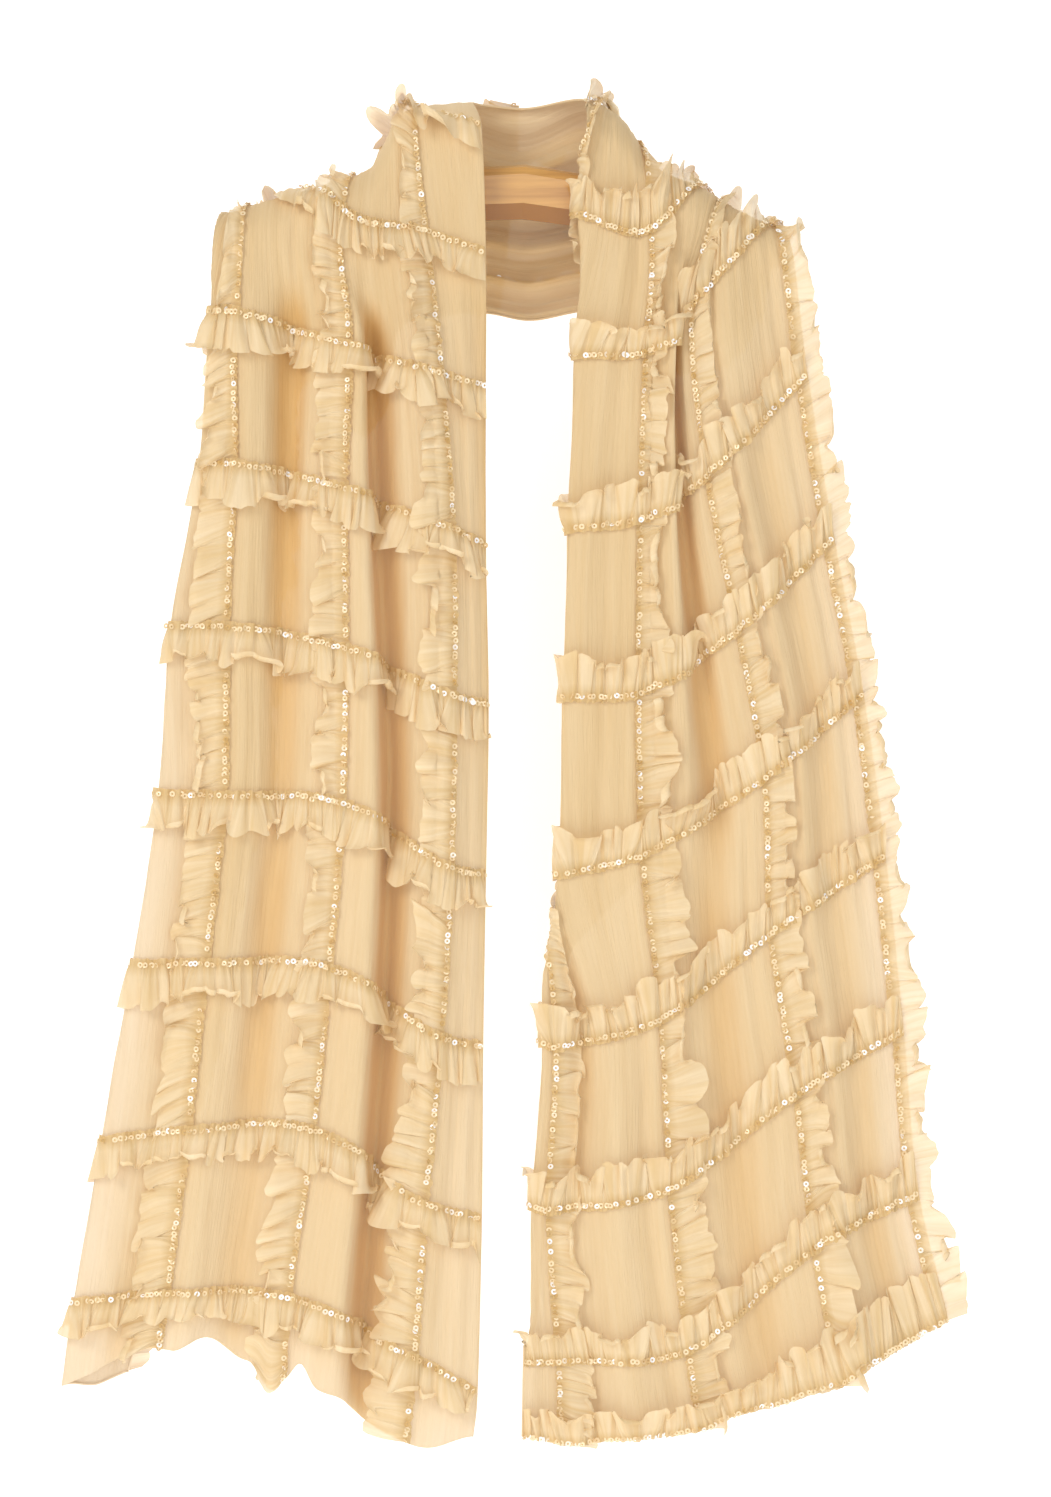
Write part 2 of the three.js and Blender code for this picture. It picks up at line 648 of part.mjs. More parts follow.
function addHanger() {
  const bore = new THREE.CylinderGeometry(HANGER.bore / 2, HANGER.bore / 2, 2 * HANGER.boreDepth, 12);
  bore.rotateX(Math.PI / 2);
  const solid = hangerBar(0).subtract(toSolid(bore));
  placed.push({ solid, withGap: hangerBar(SEAM_GAP) });
  const material = new THREE.MeshStandardMaterial({ color: WOOD_COLOUR, roughness: 0.35, metalness: 0 });
  const mesh = new THREE.Mesh(toGeometry(solid), material);
  mesh.name = "hanger";
  group.add(mesh);
}

addHanger();
stolePanel("stole_left_front", STRETCHES.left);
stolePanel("stole_neck", STRETCHES.neck);
stolePanel("stole_right_front", STRETCHES.right);
for (const [side, stretch] of Object.entries(STRETCHES)) {
  LONG_LINES.forEach((across, i) => {
    const name = `ruffle_long_${i + 1}_${side}`;
    longRuffle(name, across, { ...stretch, ...SHOWN_PART[name] });
  });
}
for (const [side, stretch] of Object.entries(STRETCHES)) {
  stretch.crosses.forEach((line, i) => {
    crossRuffle(`ruffle_cross_${side}_${i + 1}`, line);
  });
}
crossRuffle("ruffle_hem_right", RIGHT_HEM);

export default group;
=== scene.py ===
"""Looks of an evening stole of crinkled silk chiffon with gathered ruffles, on a wooden hanger.

Places on the cloth are given unrolled: across is millimetres from the neck edge, and line counts the cross
ruffles, from 0 behind the neck to -9.5 at the left hem and 9.6 at the right one. Meshes are in metres.
"""

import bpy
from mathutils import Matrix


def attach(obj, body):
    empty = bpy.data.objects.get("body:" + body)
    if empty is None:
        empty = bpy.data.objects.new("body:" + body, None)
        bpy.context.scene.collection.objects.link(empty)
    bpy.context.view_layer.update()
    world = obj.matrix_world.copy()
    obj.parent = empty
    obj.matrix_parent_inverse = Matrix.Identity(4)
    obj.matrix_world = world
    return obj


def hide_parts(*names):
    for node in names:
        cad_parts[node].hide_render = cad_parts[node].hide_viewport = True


bl_info = {
    "name": "Evening Stole on a Hanger",
    "version": (1, 0, 0),
    "blender": (4, 5, 0),
    "location": "View3D > Sidebar > Stole",
    "description": "Builds the chiffon cloth, its ruffles and sequins, the wood finish and the studio",
    "category": "Add Mesh",
}

import math

import bpy
import numpy as np
from mathutils import Vector

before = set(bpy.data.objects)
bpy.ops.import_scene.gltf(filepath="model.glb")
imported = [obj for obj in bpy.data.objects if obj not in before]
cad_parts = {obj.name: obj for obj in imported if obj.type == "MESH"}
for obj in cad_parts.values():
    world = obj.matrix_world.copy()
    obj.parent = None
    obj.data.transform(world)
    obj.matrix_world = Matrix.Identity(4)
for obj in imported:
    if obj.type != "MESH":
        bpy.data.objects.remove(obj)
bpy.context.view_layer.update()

MM = 0.001

# Sizes of the stole as it was cut, in millimetres.
STOLE_WIDTH = 410
LINE_PITCH = 119
LONG_LINES = (46, 164, 282, 400)
LEFT_HEM = -9.5
RIGHT_HEM = 9.6

# How much cloth is turned under along each edge, as (line, width).
TURNED_UNDER = {
    "neck": ((1, 0), (1.5, 38), (2, 70), (3, 98), (4, 105), (5, 100), (6, 90), (6.3, 60), (6.6, 30), (7, 27),
             (8, 20), (8.6, 12), (9, 0)),
    "outer": ((-9.6, 50), (-9, 54), (-8, 59), (-7, 66), (-6, 74), (-5, 82), (-4, 88), (-3, 88), (-2.7, 64),
              (-2.45, 30), (-2.28, 0)),
}

# Where the cloth runs at each line: the line, the depths where its front and its back hang, and then
# (x, height) at the neck edge, at three lengthwise ruffles and at the outer edge. A height above the ridge
# goes on over it.
SECTIONS = (
    (-9.5, -19, 29, (-38, -912), (-87, -915), (-174, -866), (-263, -851), (-333, -876)),
    (-9, -20, 29, (-35, -881), (-80, -855), (-170, -813), (-256, -810), (-324, -817)),
    (-8, -22, 29, (-32, -757), (-72, -745), (-152, -693), (-241, -693), (-304, -701)),
    (-7, -23, 28, (-31, -634), (-61, -626), (-140, -577), (-228, -574), (-282, -575)),
    (-6, -24, 27, (-29, -511), (-54, -505), (-131, -459), (-215, -454), (-263, -452)),
    (-5, -27, 26, (-27, -389), (-52, -383), (-129, -348), (-213, -333), (-254, -333)),
    (-4, -28, 25, (-29, -275), (-53, -264), (-130, -234), (-207, -217), (-234, -217)),
    (-3, -29, 25, (-29, -161), (-61, -153), (-127, -132), (-206, -109), (-225, -108)),
    (-2, -28, 27, (-29, -65), (-72, -51), (-131, -35), (-186, 40), (-160, 135)),
    (-1, -27, 41, (-32, 25), (-79, 46), (-94, 132), (-90, 178), (-88, 225)),
    (-0.45, -7, 39, (-37, 59), (-60, 84), (-50, 140), (-46, 180), (-44, 222)),
    (0, 23, 41, (-8, 53), (-10, 88), (-14, 128), (-18, 168), (-22, 207)),
    (0.45, -7, 39, (38, 63), (60, 88), (50, 145), (46, 185), (44, 226)),
    (1, -27, 41, (43, 45), (54, 62), (70, 115), (76, 143), (76, 190)),
    (2, -28, 27, (37, -38), None, (90, -48), (143, 26), (150, 92)),
    (3, -29, 25, (34, -139), None, (86, -137), (119, -104), (184, -27)),
    (4, -28, 25, (30, -263), None, (82, -256), (130, -225), (201, -152)),
    (5, -27, 26, (26, -383), None, (81, -380), (152, -335), (220, -269)),
    (6, -24, 27, (22, -510), None, (84, -495), (171, -441), (241, -380)),
    (7, -23, 28, (12, -630), (22, -633), (97, -613), (176, -552), (257, -496)),
    (8, -22, 29, (4, -747), (17, -750), (104, -734), (194, -667), (270, -621)),
    (9, -20, 29, (-1, -859), (24, -858), (117, -850), (207, -777), (281, -738)),
    (9.6, -19, 29, (-2, -912), (26, -915), (126, -907), (225, -871), (302, -828)),
)

# The top outline of the hung stole, as (x, height): over both arms of the hanger and round the collar.
RIDGE = (
    (-211, -34), (-190, -27), (-163, -20), (-140, -12), (-112, -2), (-101, 18), (-92, 36),
    (-76, 42), (-40, 47), (0, 46), (42, 50), (58, 42), (72, 31), (90, 3),
    (106, -8), (125, -15), (150, -31), (171, -41), (201, -53),
)

# Folds along the stole: name, then from and to for the line, the crest's distance across, the half width,
# how far it stands out (or in, below zero) and how far its crest is pushed along x.
FOLDS = (
    ("deep valley of the left front", (-2.4, -9.8), (129, 86), (25, 25), (-28, -22), (-8, 0)),
    ("lobe left of the deep valley", (-2.2, -9.8), (160, 118), (26, 28), (10, 7), (3, 3)),
    ("second valley of the left front", (-2.4, -8.4), (222, 232), (28, 30), (-19, -4), (0, 0)),
    ("lobe at the left neck edge", (-1.8, -9.8), (72, 42), (42, 40), (9, 8), (0, 0)),
    ("rolled back left neck edge", (-1.2, -8.6), (0, 0), (26, 22), (-9, -3), (0, 0)),
    ("lobe at the left side", (-2.5, -9.8), (266, 272), (34, 36), (7, 6), (0, 0)),
    ("shallow valley above the left hem", (-6, -9.9), (226, 214), (30, 32), (-2, -9), (0, 0)),
    ("lobe beside the right pleat", (2.3, 6.2), (201, 201), (26, 26), (9, 4), (10, 3)),
    ("deep pleat of the right front", (2.4, 6.6), (238, 232), (28, 28), (-27, -9), (0, 0)),
    ("lobe at the right side", (2.6, 9.2), (330, 330), (48, 48), (8, 4), (0, 0)),
    ("small pleat at the right neck edge", (6.2, 8.4), (74, 72), (24, 26), (-13, -5), (0, 0)),
    ("low valley of the right front", (6, 9.9), (222, 226), (32, 34), (-9, -7), (0, 0)),
    ("low lobe of the right front", (6.8, 9.9), (116, 108), (32, 32), (6, 6), (0, 0)),
    ("valley at the right side", (3.6, 9.9), (346, 350), (26, 28), (-9, -7), (0, 0)),
)

# Over how many lines a fold fades in and out, and how steeply turned cloth goes on beside the front.
FOLD_FADE = 0.7
TURNED_SLOPE = 0.25

# Creases too small for the solid's form, in the same columns without the push: soft troughs and ridges.
CREASES = (
    ("trough beside the left edge", (-3.2, -9.3), (318, 306), (9, 12), (-2.2, -1.4)),
    ("ridge inside the left edge", (-2.6, -5.4), (300, 296), (8, 8), (1.2, 0.8)),
    ("trough over the left lobe", (-4.4, -7.9), (254, 262), (7, 10), (-1.6, -1.2)),
    ("long trough of the left lobe", (-2.3, -6.6), (196, 204), (6, 9), (-2.0, -1.2)),
    ("ridge beside the deep valley", (-3.0, -9.2), (176, 150), (7, 7), (1.8, 1.6)),
    ("trough inside the deep valley", (-5.2, -9.4), (112, 92), (6, 8), (-2.0, -2.4)),
    ("ridge of the left neck lobe", (-2.0, -5.7), (88, 72), (9, 8), (2.0, 1.4)),
    ("trough of the left neck lobe", (-2.2, -8.6), (60, 64), (7, 9), (-1.8, -1.6)),
    ("fine trough at the left neck edge", (-2.4, -6.3), (26, 22), (6, 6), (-1.6, -1.0)),
    ("low trough at the left neck edge", (-6.4, -9.5), (22, 30), (7, 9), (-1.4, -2.0)),
    ("ridge low at the left neck edge", (-5.6, -9.5), (12, 14), (6, 7), (1.2, 1.8)),
    ("trough by the left knot", (-1.1, -3.3), (206, 222), (7, 9), (-2.6, -1.4)),
    ("ridge by the left knot", (-1.1, -2.9), (186, 184), (8, 9), (2.2, 1.4)),
    ("pull across the left shoulder", (-1.2, -2.6), (240, 262), (9, 10), (-2.2, -1.2)),
    ("left hem ripple near the side", (-8.4, -9.9), (316, 320), (13, 16), (-2.6, -5.0)),
    ("left hem ripple at the middle", (-8.1, -9.9), (262, 258), (14, 18), (2.2, 4.6)),
    ("left hem ripple by the corner", (-8.6, -9.9), (186, 182), (12, 15), (-2.0, -4.2)),
    ("left hem ripple at the neck edge", (-8.7, -9.9), (40, 36), (12, 14), (-1.8, -3.8)),
    ("trough down the right neck lobe", (1.6, 6.3), (148, 128), (8, 8), (-2.2, -1.4)),
    ("ridge down the right neck lobe", (1.7, 5.2), (132, 116), (7, 7), (1.8, 1.2)),
    ("second trough of the right neck lobe", (2.2, 7.2), (176, 182), (6, 8), (-1.8, -1.4)),
    ("ridge over the right neck lobe", (3.6, 8.8), (158, 152), (8, 10), (1.4, 1.8)),
    ("trough low on the right neck lobe", (6.4, 9.7), (140, 146), (8, 11), (-1.6, -2.6)),
    ("trough of the right middle", (3.4, 8.6), (262, 256), (8, 11), (-2.0, -2.0)),
    ("ridge of the right middle", (2.8, 7.4), (300, 292), (9, 9), (1.8, 1.4)),
    ("trough by the right side ruffle", (2.2, 8.4), (312, 318), (7, 9), (-1.8, -1.6)),
    ("pull from the right shoulder", (1.4, 3.4), (330, 366), (9, 10), (-2.4, -1.4)),
    ("trough at the right side", (2.4, 7.6), (384, 380), (7, 9), (-2.0, -1.4)),
    ("right hem ripple near the neck edge", (8.6, 9.9), (78, 74), (14, 17), (-2.0, -4.6)),
    ("right hem ripple at the middle", (8.3, 9.9), (186, 182), (14, 18), (-2.4, -4.8)),
    ("right hem ripple past the middle", (8.5, 9.9), (306, 302), (15, 18), (2.4, 4.8)),
    ("right hem ripple near the side", (8.6, 9.9), (380, 378), (12, 14), (-2.0, -4.0)),
    ("crease down the swag", (-0.9, 0.85), (62, 58), (8, 8), (-2.2, -2.4)),
    ("second crease down the swag", (-0.8, 0.9), (146, 152), (9, 9), (-2.6, -2.2)),
    ("third crease down the swag", (-0.85, 0.8), (226, 214), (8, 9), (-2.4, -2.4)),
    ("low crease down the swag", (-0.8, 0.8), (318, 330), (9, 9), (-2.2, -2.4)),
)

# Over how many lines a crease fades in and out.
CREASE_FADE = 0.5

# Folds of the swag behind the neck, where the cloth is gathered.
SWAG_FOLDS = {"start": 24, "period": 82, "lift": 8, "widest": 0.45, "ends": 0.95}

# Painted light where the cloth looks sheer: the width of the band inside a fold, the lines from the neck where
# it starts and is full, how many lines it reaches up from the left hem, and how much painted light the hem, neck
# edge and swag get; on the swag it lifts the shade behind the neck.
SHEER_PAINT = {"width": 58, "start": 2.5, "full": 8, "hem": 0.5, "at_hem": 0.6, "at_edge": 0.35, "swag_light_paint": 0.25}

# Waves of the hem itself: name, the hem's line, middle and half width across, and how far they raise the cloth.
HEM_WAVES = (
    ("rise beside the left corner", -9.5, 300, 38, 4),
    ("rise over the left middle", -9.5, 236, 34, 11),
    ("point of the folded corner", -9.5, 176, 22, -16),
    ("rise beside the folded corner", -9.5, 146, 14, 12),
    ("dip of the inner valley", -9.5, 104, 26, 5),
    ("dip at the left neck edge", -9.5, 26, 26, -4),
    ("dip near the right neck edge", 9.6, 60, 34, -3),
    ("rise of the right middle", 9.6, 196, 38, 4),
    ("dip past the right middle", 9.6, 282, 34, -4),
)

# How many lines up from the hem its waves reach, and how far the turned cloth droops below the left hem.
HEM_REACH = 0.45
TURNED_DROOP = 11
DROOP_FADE = 30

# The tone of open cloth, between 0, painted shade in a valley, and 1, painted light where it is sheer,
# and how deep a valley of tone 0 is.
USUAL_TONE = 0.4
VALLEY_SHADE_DEPTH = 14

# The turned edges: how tightly they roll, and how far the turned cloth hangs behind.
ROLL = {"radius": 4, "gap": 7, "spread": 0.18, "least": 4, "full": 16, "over_arm": 2.8}

# A fold that goes inward starts only below the hanger's arm.
ARM_CLEAR = {"start": -52, "full": -130}

# The crinkle that runs along the cloth: waves (width, height) in millimetres.
CRINKLES = ((6.5, 0.12), (9.3, 0.15), (13.7, 0.18), (21.0, 0.2), (34.0, 0.24))

# The grid that the drape is worked out on, and how far it goes on past the cloth for ruffles that stand over.
ACROSS_STEP = STOLE_WIDTH / 130
ROWS_PER_LINE = 36
ACROSS_REACH = 32
LINE_REACH = 0.12

STRETCHES = {
    "left": (LEFT_HEM, -1),
    "neck": (-1, 1),
    "right": (1, RIGHT_HEM),
}
CROSS_LINES = {
    "left": range(-9, -1),
    "neck": range(-1, 2),
    "right": (*range(2, 10), RIGHT_HEM),
}

# How finely a ruffle is made: millimetres along it, and rows from its stitching to its free edge.
RUFFLE_STEP = 1.15
RUFFLE_ROWS = 11

# The two kinds of ruffle: the share of folds that fall forward, how far they turn in degrees, how much cloth
# they draw in along the seam, how far the free edge reaches (usual, unevenness and its period), how far it dips
# between folds, and how it curls back (how often, the period and how far).
LONG_KIND = {
    "falls": 0.72,
    "turned": (28, 78),
    "pinch": 0.85,
    "reach": (1.2, 0.16, 15.0),
    "dip": 0.12,
    "curl": (0.35, 12.0, 1.25),
}
CROSS_KIND = {
    "falls": 0.5,
    "turned": (12, 74),
    "pinch": 0.9,
    "reach": (1.08, 0.15, 19.0),
    "dip": 0.13,
    "curl": (0.3, 11.0, 1.2),
}
PUCKER_TURNED = (0, 40)

# How the folds deepen towards the free edge, how uneven that edge and the raw heading are, where the curl
# starts as a share of the width, how much of it stands up, and how streaks are stretched along a strip.
FOLD_GROWTH = 0.65
EDGE_UNEVEN = 0.055
FRAY = 0.25
CURL_START = 0.66
CURL_RISE = 0.8
STRIP_STRETCH = 1.5

# Ruffles are calmer where the cloth below is turned behind this far, and fluffier on the collar's left.
CALM_DEPTH = 5
COLLAR_FLUFF = 0.6

# The right hem's heading, and how far a cross ruffle may stand past the outer edge.
HEM_HEADING = 2.0
CROSS_OVERHANG = 3

# Where two ruffles cross, from the stitching of the other: start, how soft it is, end and how soft that is.
UNDER_CROSS = (-33, 6, 9, 5)
OVER_LONG = (-9, 7, 32, 7)

# How high the sequins lie on each kind of seam, and more where a cross ruffle passes over a lengthwise one.
LONG_SEAM_LIFT = 2.3
CROSS_SEAM_LIFT = 2.9
OVER_LIFT = 2.6
SEQUIN_SIDES = 10
SEQUIN_SEEDS = {"left": 5, "neck": 6, "right": 7}

# Streaks of the chiffon: how fine across the cloth, how fine along it, and their detail.
STREAKS = ((1150, 60, 4), (330, 17, 2), (70, 6, 2))


def smooth_step(value):
    """0 up to 0, 1 from 1 on, and a soft rise between."""
    held = np.clip(value, 0.0, 1.0)
    return held * held * (3 - 2 * held)


def between(pair, share):
    """The value at a share of the way from the first of a pair to the second."""
    return pair[0] + (pair[1] - pair[0]) * share


def unit(vectors):
    """The same vectors, each one long."""
    lengths = np.linalg.norm(vectors, axis=-1, keepdims=True)
    return vectors / np.maximum(lengths, 1e-9)


def through_stations(places, values, at):
    """A smooth curve through stations, straight past their ends. A station has one value, or one a point."""
    places = np.asarray(places, float)
    values = np.asarray(values, float)
    if values.ndim == 1:
        values = values[:, None]
    last = len(places) - 1
    before = np.maximum(np.arange(last + 1) - 1, 0)
    after = np.minimum(np.arange(last + 1) + 1, last)
    slopes = (values[after] - values[before]) / (places[after] - places[before])[:, None]
    span_index = np.clip(np.searchsorted(places, at) - 1, 0, last - 1)
    points = np.arange(len(at)) if values.shape[1] > 1 else np.zeros(len(at), int)
    low = values[span_index, points]
    high = values[span_index + 1, points]
    span = places[span_index + 1] - places[span_index]
    t = np.clip((at - places[span_index]) / span, 0, 1)
    curve = low + (high - low) * t * t * (3 - 2 * t)
    curve += slopes[span_index, points] * t * (1 - t) ** 2 * span
    curve -= slopes[span_index + 1, points] * t * t * (1 - t) * span
    below = np.minimum(at - places[0], 0) * slopes[0, points]
    beyond = np.maximum(at - places[last], 0) * slopes[last, points]
    return curve + below + beyond


def tucked_at(edge, line):
    """The width of cloth turned under along the neck edge or the outer edge."""
    places = [row[0] for row in TURNED_UNDER[edge]]
    widths = [row[1] for row in TURNED_UNDER[edge]]
    held = np.clip(line, places[0], places[-1])
    return np.maximum(through_stations(places, widths, held), 0)


def on_section(section, across):
    """One section's x and height at distances across the cloth."""
    line, _, _, neck, first, second, third, outer = section
    here = np.array([float(line)])
    places = [tucked_at("neck", here)[0]]
    points = [neck]
    if first is not None:
        places.append(LONG_LINES[0])
        points.append(first)
    places += [LONG_LINES[1], LONG_LINES[2], STOLE_WIDTH - tucked_at("outer", here)[0]]
    points += [second, third, outer]
    # Cloth turned under goes on less steeply than the front beside it.
    held = np.maximum(across, places[0]) - np.maximum(places[0] - across, 0) * TURNED_SLOPE
    return [through_stations(places, [p[axis] for p in points], held) for axis in (0, 1)]


def draped_at(across, line):
    """The flat drape's x and height."""
    lines = [section[0] for section in SECTIONS]
    crossings = [on_section(section, across) for section in SECTIONS]
    return [through_stations(lines, [c[axis] for c in crossings], line) for axis in (0, 1)]


def turned_under(across, line):
    """Where on the front the turned cloth lies, how far behind it hangs and how much of that is sag."""
    place = across.copy()
    behind = np.zeros_like(across)
    sag = np.zeros_like(across)
    inner = tucked_at("neck", line)
    outer = tucked_at("outer", line)
    for side, fold, tucked in ((1, inner, inner), (-1, STOLE_WIDTH - outer, outer)):
        share = smooth_step((tucked - ROLL["least"]) / (ROLL["full"] - ROLL["least"]))
        turned = share > 0
        past = side * (across - fold)
        radius = np.maximum(ROLL["radius"] * share, 1e-6)
        away = np.abs(past)
        reflected = fold + side * away * smooth_step(away / (2 * radius))
        place = np.where(turned & (past < 2 * radius), reflected, place)
        turn = np.clip(past / radius, -1, 1) * (math.pi / 2)
        behind += np.where(turned, ROLL["gap"] * share * 0.5 * (1 - np.sin(turn)), 0)
        sag += np.where(turned, ROLL["spread"] * np.maximum(-past, 0), 0)
    return place, behind, sag


def below_arm(height):
    """Below the hanger's arm there is room behind the front."""
    return smooth_step((ARM_CLEAR["start"] - height) / (ARM_CLEAR["start"] - ARM_CLEAR["full"]))


def fold_share(line, ends, fade):
    """How strong a fold is along its run, which fades in and out over that many lines."""
    along = (line - ends[0]) / (ends[1] - ends[0])
    fade_share = fade / abs(ends[1] - ends[0])
    held = np.clip(along, 0, 1)
    return smooth_step(held / fade_share) * smooth_step((1 - held) / fade_share), held


def bell(across, middle, half):
    """A soft rise and fall across a fold."""
    away = np.clip((across - middle) / half, -1, 1)
    return np.cos(away * math.pi / 2) ** 2


def folds_at(across, line, height):
    """How far the folds stand out of the cloth, and how far they push it along x."""
    lift = np.zeros_like(across)
    lean = np.zeros_like(across)
    room = below_arm(height)
    for _, ends, middle, half, out, push in FOLDS:
        share, along = fold_share(line, ends, FOLD_FADE)
        rise = share * bell(across, between(middle, along), between(half, along))
        out_here = between(out, along)
        clear = np.where(out_here < 0, room, 1)
        lift += out_here * clear * rise
        lean += between(push, along) * clear * rise
    for _, ends, middle, half, out in CREASES:
        share, along = fold_share(line, ends, CREASE_FADE)
        lift += between(out, along) * share * bell(across, between(middle, along), between(half, along))
    swag = SWAG_FOLDS
    gathered = smooth_step((swag["ends"] - np.abs(line)) / (swag["ends"] - swag["widest"]))
    inside = smooth_step(across / swag["start"]) * smooth_step((STOLE_WIDTH - across) / swag["start"])
    wave = np.sin(2 * math.pi * (across - swag["start"]) / swag["period"])
    lift += swag["lift"] * gathered * inside * wave
    return lift, lean


def hem_waves(across, line):
    """How far the hems rise and dip, and how far the turned cloth droops below the left one."""
    rise = np.zeros_like(across)
    for _, hem, middle, half, height in HEM_WAVES:
        near = smooth_step(1 - np.abs(hem - line) / HEM_REACH)
        rise += height * near * bell(across, middle, half)
    fold = STOLE_WIDTH - tucked_at("outer", line)
    turned = smooth_step((across - fold) / DROOP_FADE)
    return rise - TURNED_DROOP * turned * smooth_step(1 - np.abs(line - LEFT_HEM) / HEM_REACH)


def cloth_points(across, line):
    """The cloth's points in millimetres, how far behind the front each hangs and how far a fold lifts it."""
    place, behind, sag = turned_under(across, line)
    flat_x, height = draped_at(place, line)
    lift, lean = folds_at(across, line, height)
    lines = [section[0] for section in SECTIONS]
    front = through_stations(lines, [section[1] for section in SECTIONS], line)
    back = through_stations(lines, [section[2] for section in SECTIONS], line)
    radius = (back - front) / 2
    middle = (back + front) / 2
    ridge_x = [station[0] for station in RIDGE]
    ridge_top = through_stations(ridge_x, [s[1] for s in RIDGE], np.clip(flat_x, ridge_x[0], ridge_x[-1]))
    shoulder = ridge_top - radius
    over = np.clip((height - shoulder) / radius, 0, math.pi)
    crest = np.sin(over)
    outward = np.stack([np.zeros_like(crest), -np.cos(over), crest], axis=-1)
    past_top = np.maximum(height - shoulder - math.pi * radius, 0)
    down = np.where(height < shoulder, shoulder - height, past_top)
    on_top = np.where(lift < 0, lift * (1 - crest) ** 2, lift * (1 - 0.4 * crest))
    turned = behind + (np.minimum(behind, ROLL["over_arm"]) - behind) * crest + sag * below_arm(height)
    x = flat_x + lean
    y = middle - radius * np.cos(over)
    z = shoulder + radius * crest - down + hem_waves(across, line)
    return np.stack([x, y, z], axis=-1) + outward * (on_top - turned)[:, None], behind, on_top


class Drape:
    """The draped cloth as a grid of points and outward normals, in millimetres."""

    def __init__(self):
        columns = round((STOLE_WIDTH + ACROSS_REACH) / ACROSS_STEP) + 1
        self.across = np.arange(columns) * ACROSS_STEP
        self.lines = np.arange(
            round((LEFT_HEM - LINE_REACH) * ROWS_PER_LINE),
            round((RIGHT_HEM + LINE_REACH) * ROWS_PER_LINE) + 1,
        ) / ROWS_PER_LINE
        line, across = np.meshgrid(self.lines, self.across, indexing="ij")
        shape = line.shape
        on_cloth = np.minimum(across, STOLE_WIDTH).ravel()
        points, behind, lift = cloth_points(on_cloth, line.ravel())
        points = points.reshape(*shape, 3)
        edge = round(STOLE_WIDTH / ACROSS_STEP)
        outward = unit(points[:, edge] - points[:, edge - 2])
        beyond = np.maximum(self.across - STOLE_WIDTH, 0)
        points += outward[:, None, :] * beyond[None, :, None]
        self.behind = behind.reshape(shape)
        self.lift = lift.reshape(shape)
        along_line = np.gradient(points, axis=0)
        along_across = np.gradient(points, axis=1)
        normals = unit(np.cross(along_line, along_across))
        points += normals * self.crinkle(line, across)[..., None]
        self.points = points
        self.normals = normals

    def crinkle(self, line, across):
        """The fine crinkle that runs along the cloth, never quite straight."""
        rng = np.random.default_rng(41)
        height = np.zeros_like(across)
        for width, rise in CRINKLES:
            wander = np.zeros_like(across)
            for length in (0.7, 1.9, 4.3):
                wander += rng.uniform(0.5, 1.2) * np.sin(2 * math.pi * line / length + rng.uniform(0, 6.3))
            drift = line * rng.uniform(1.0, 3.0) + rng.uniform(0, 6.3)
            swell = 0.65 + 0.35 * np.sin(across / (3.1 * width) + drift)
            height += rise * swell * np.sin(2 * math.pi * across / width + wander + rng.uniform(0, 6.3))
        return height

    def read(self, grid, across, line):
        """A grid's values at places between its points."""
        column = np.clip(across / ACROSS_STEP, 0, len(self.across) - 1.001)
        row = np.clip((line - self.lines[0]) * ROWS_PER_LINE, 0, len(self.lines) - 1.001)
        c = column.astype(int)
        r = row.astype(int)
        u = column - c
        v = row - r
        if grid.ndim == 3:
            u = u[..., None]
            v = v[..., None]
        low = grid[r, c] * (1 - u) + grid[r, c + 1] * u
        high = grid[r + 1, c] * (1 - u) + grid[r + 1, c + 1] * u
        return low * (1 - v) + high * v

    def place(self, across, line, lift):
        """Points that stand a lift out of the cloth."""
        points = self.read(self.points, across, line)
        normals = unit(self.read(self.normals, across, line))
        return points + normals * lift[..., None]


drapes = []


def the_drape():
    """The one drape that every piece lies on, made when it is first needed."""
    if not drapes:
        drapes.append(Drape())
    return drapes[0]


def grid_faces(rows, columns, start=0):
    """Four-sided faces over a grid of points numbered row by row."""
    first = (np.arange(rows - 1)[:, None] * columns + np.arange(columns - 1)[None, :]).ravel() + start
    return np.stack([first, first + 1, first + columns + 1, first + columns], axis=-1)


def add_piece(name, points, faces, material, lay=None, tone=None):
    """A smooth mesh object from points in millimetres, with its own coordinates and tone if given."""
    mesh = bpy.data.meshes.new(name)
    mesh.vertices.add(len(points))
    mesh.vertices.foreach_set("co", (points * MM).astype(np.float32).ravel())
    sides = faces.shape[1]
    mesh.loops.add(faces.size)
    mesh.loops.foreach_set("vertex_index", faces.astype(np.int32).ravel())
    mesh.polygons.add(len(faces))
    mesh.polygons.foreach_set("loop_start", np.arange(0, faces.size, sides, dtype=np.int32))
    mesh.polygons.foreach_set("use_smooth", np.ones(len(faces), bool))
    if lay is not None:
        lay_values = mesh.attributes.new("lay", "FLOAT_VECTOR", "POINT")
        lay_values.data.foreach_set("vector", (lay * MM).astype(np.float32).ravel())
    if tone is not None:
        tone_values = mesh.attributes.new("tone", "FLOAT", "POINT")
        tone_values.data.foreach_set("value", tone.astype(np.float32))
    mesh.update(calc_edges=True)
    mesh.validate()
    mesh.materials.append(material)
    piece = bpy.data.objects.new(name, mesh)
    bpy.context.scene.collection.objects.link(piece)
    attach(piece, "root")
    return piece


def rolled_edge(edge, outward, normals, radius):
    """Rows of points that roll an edge under, for a narrow rolled hem."""
    turns = np.radians((40, 80, 120, 165, 215, 270))
    centre = edge - normals * radius
    return [centre + radius * (normals * math.cos(turn) + outward * math.sin(turn)) for turn in turns]


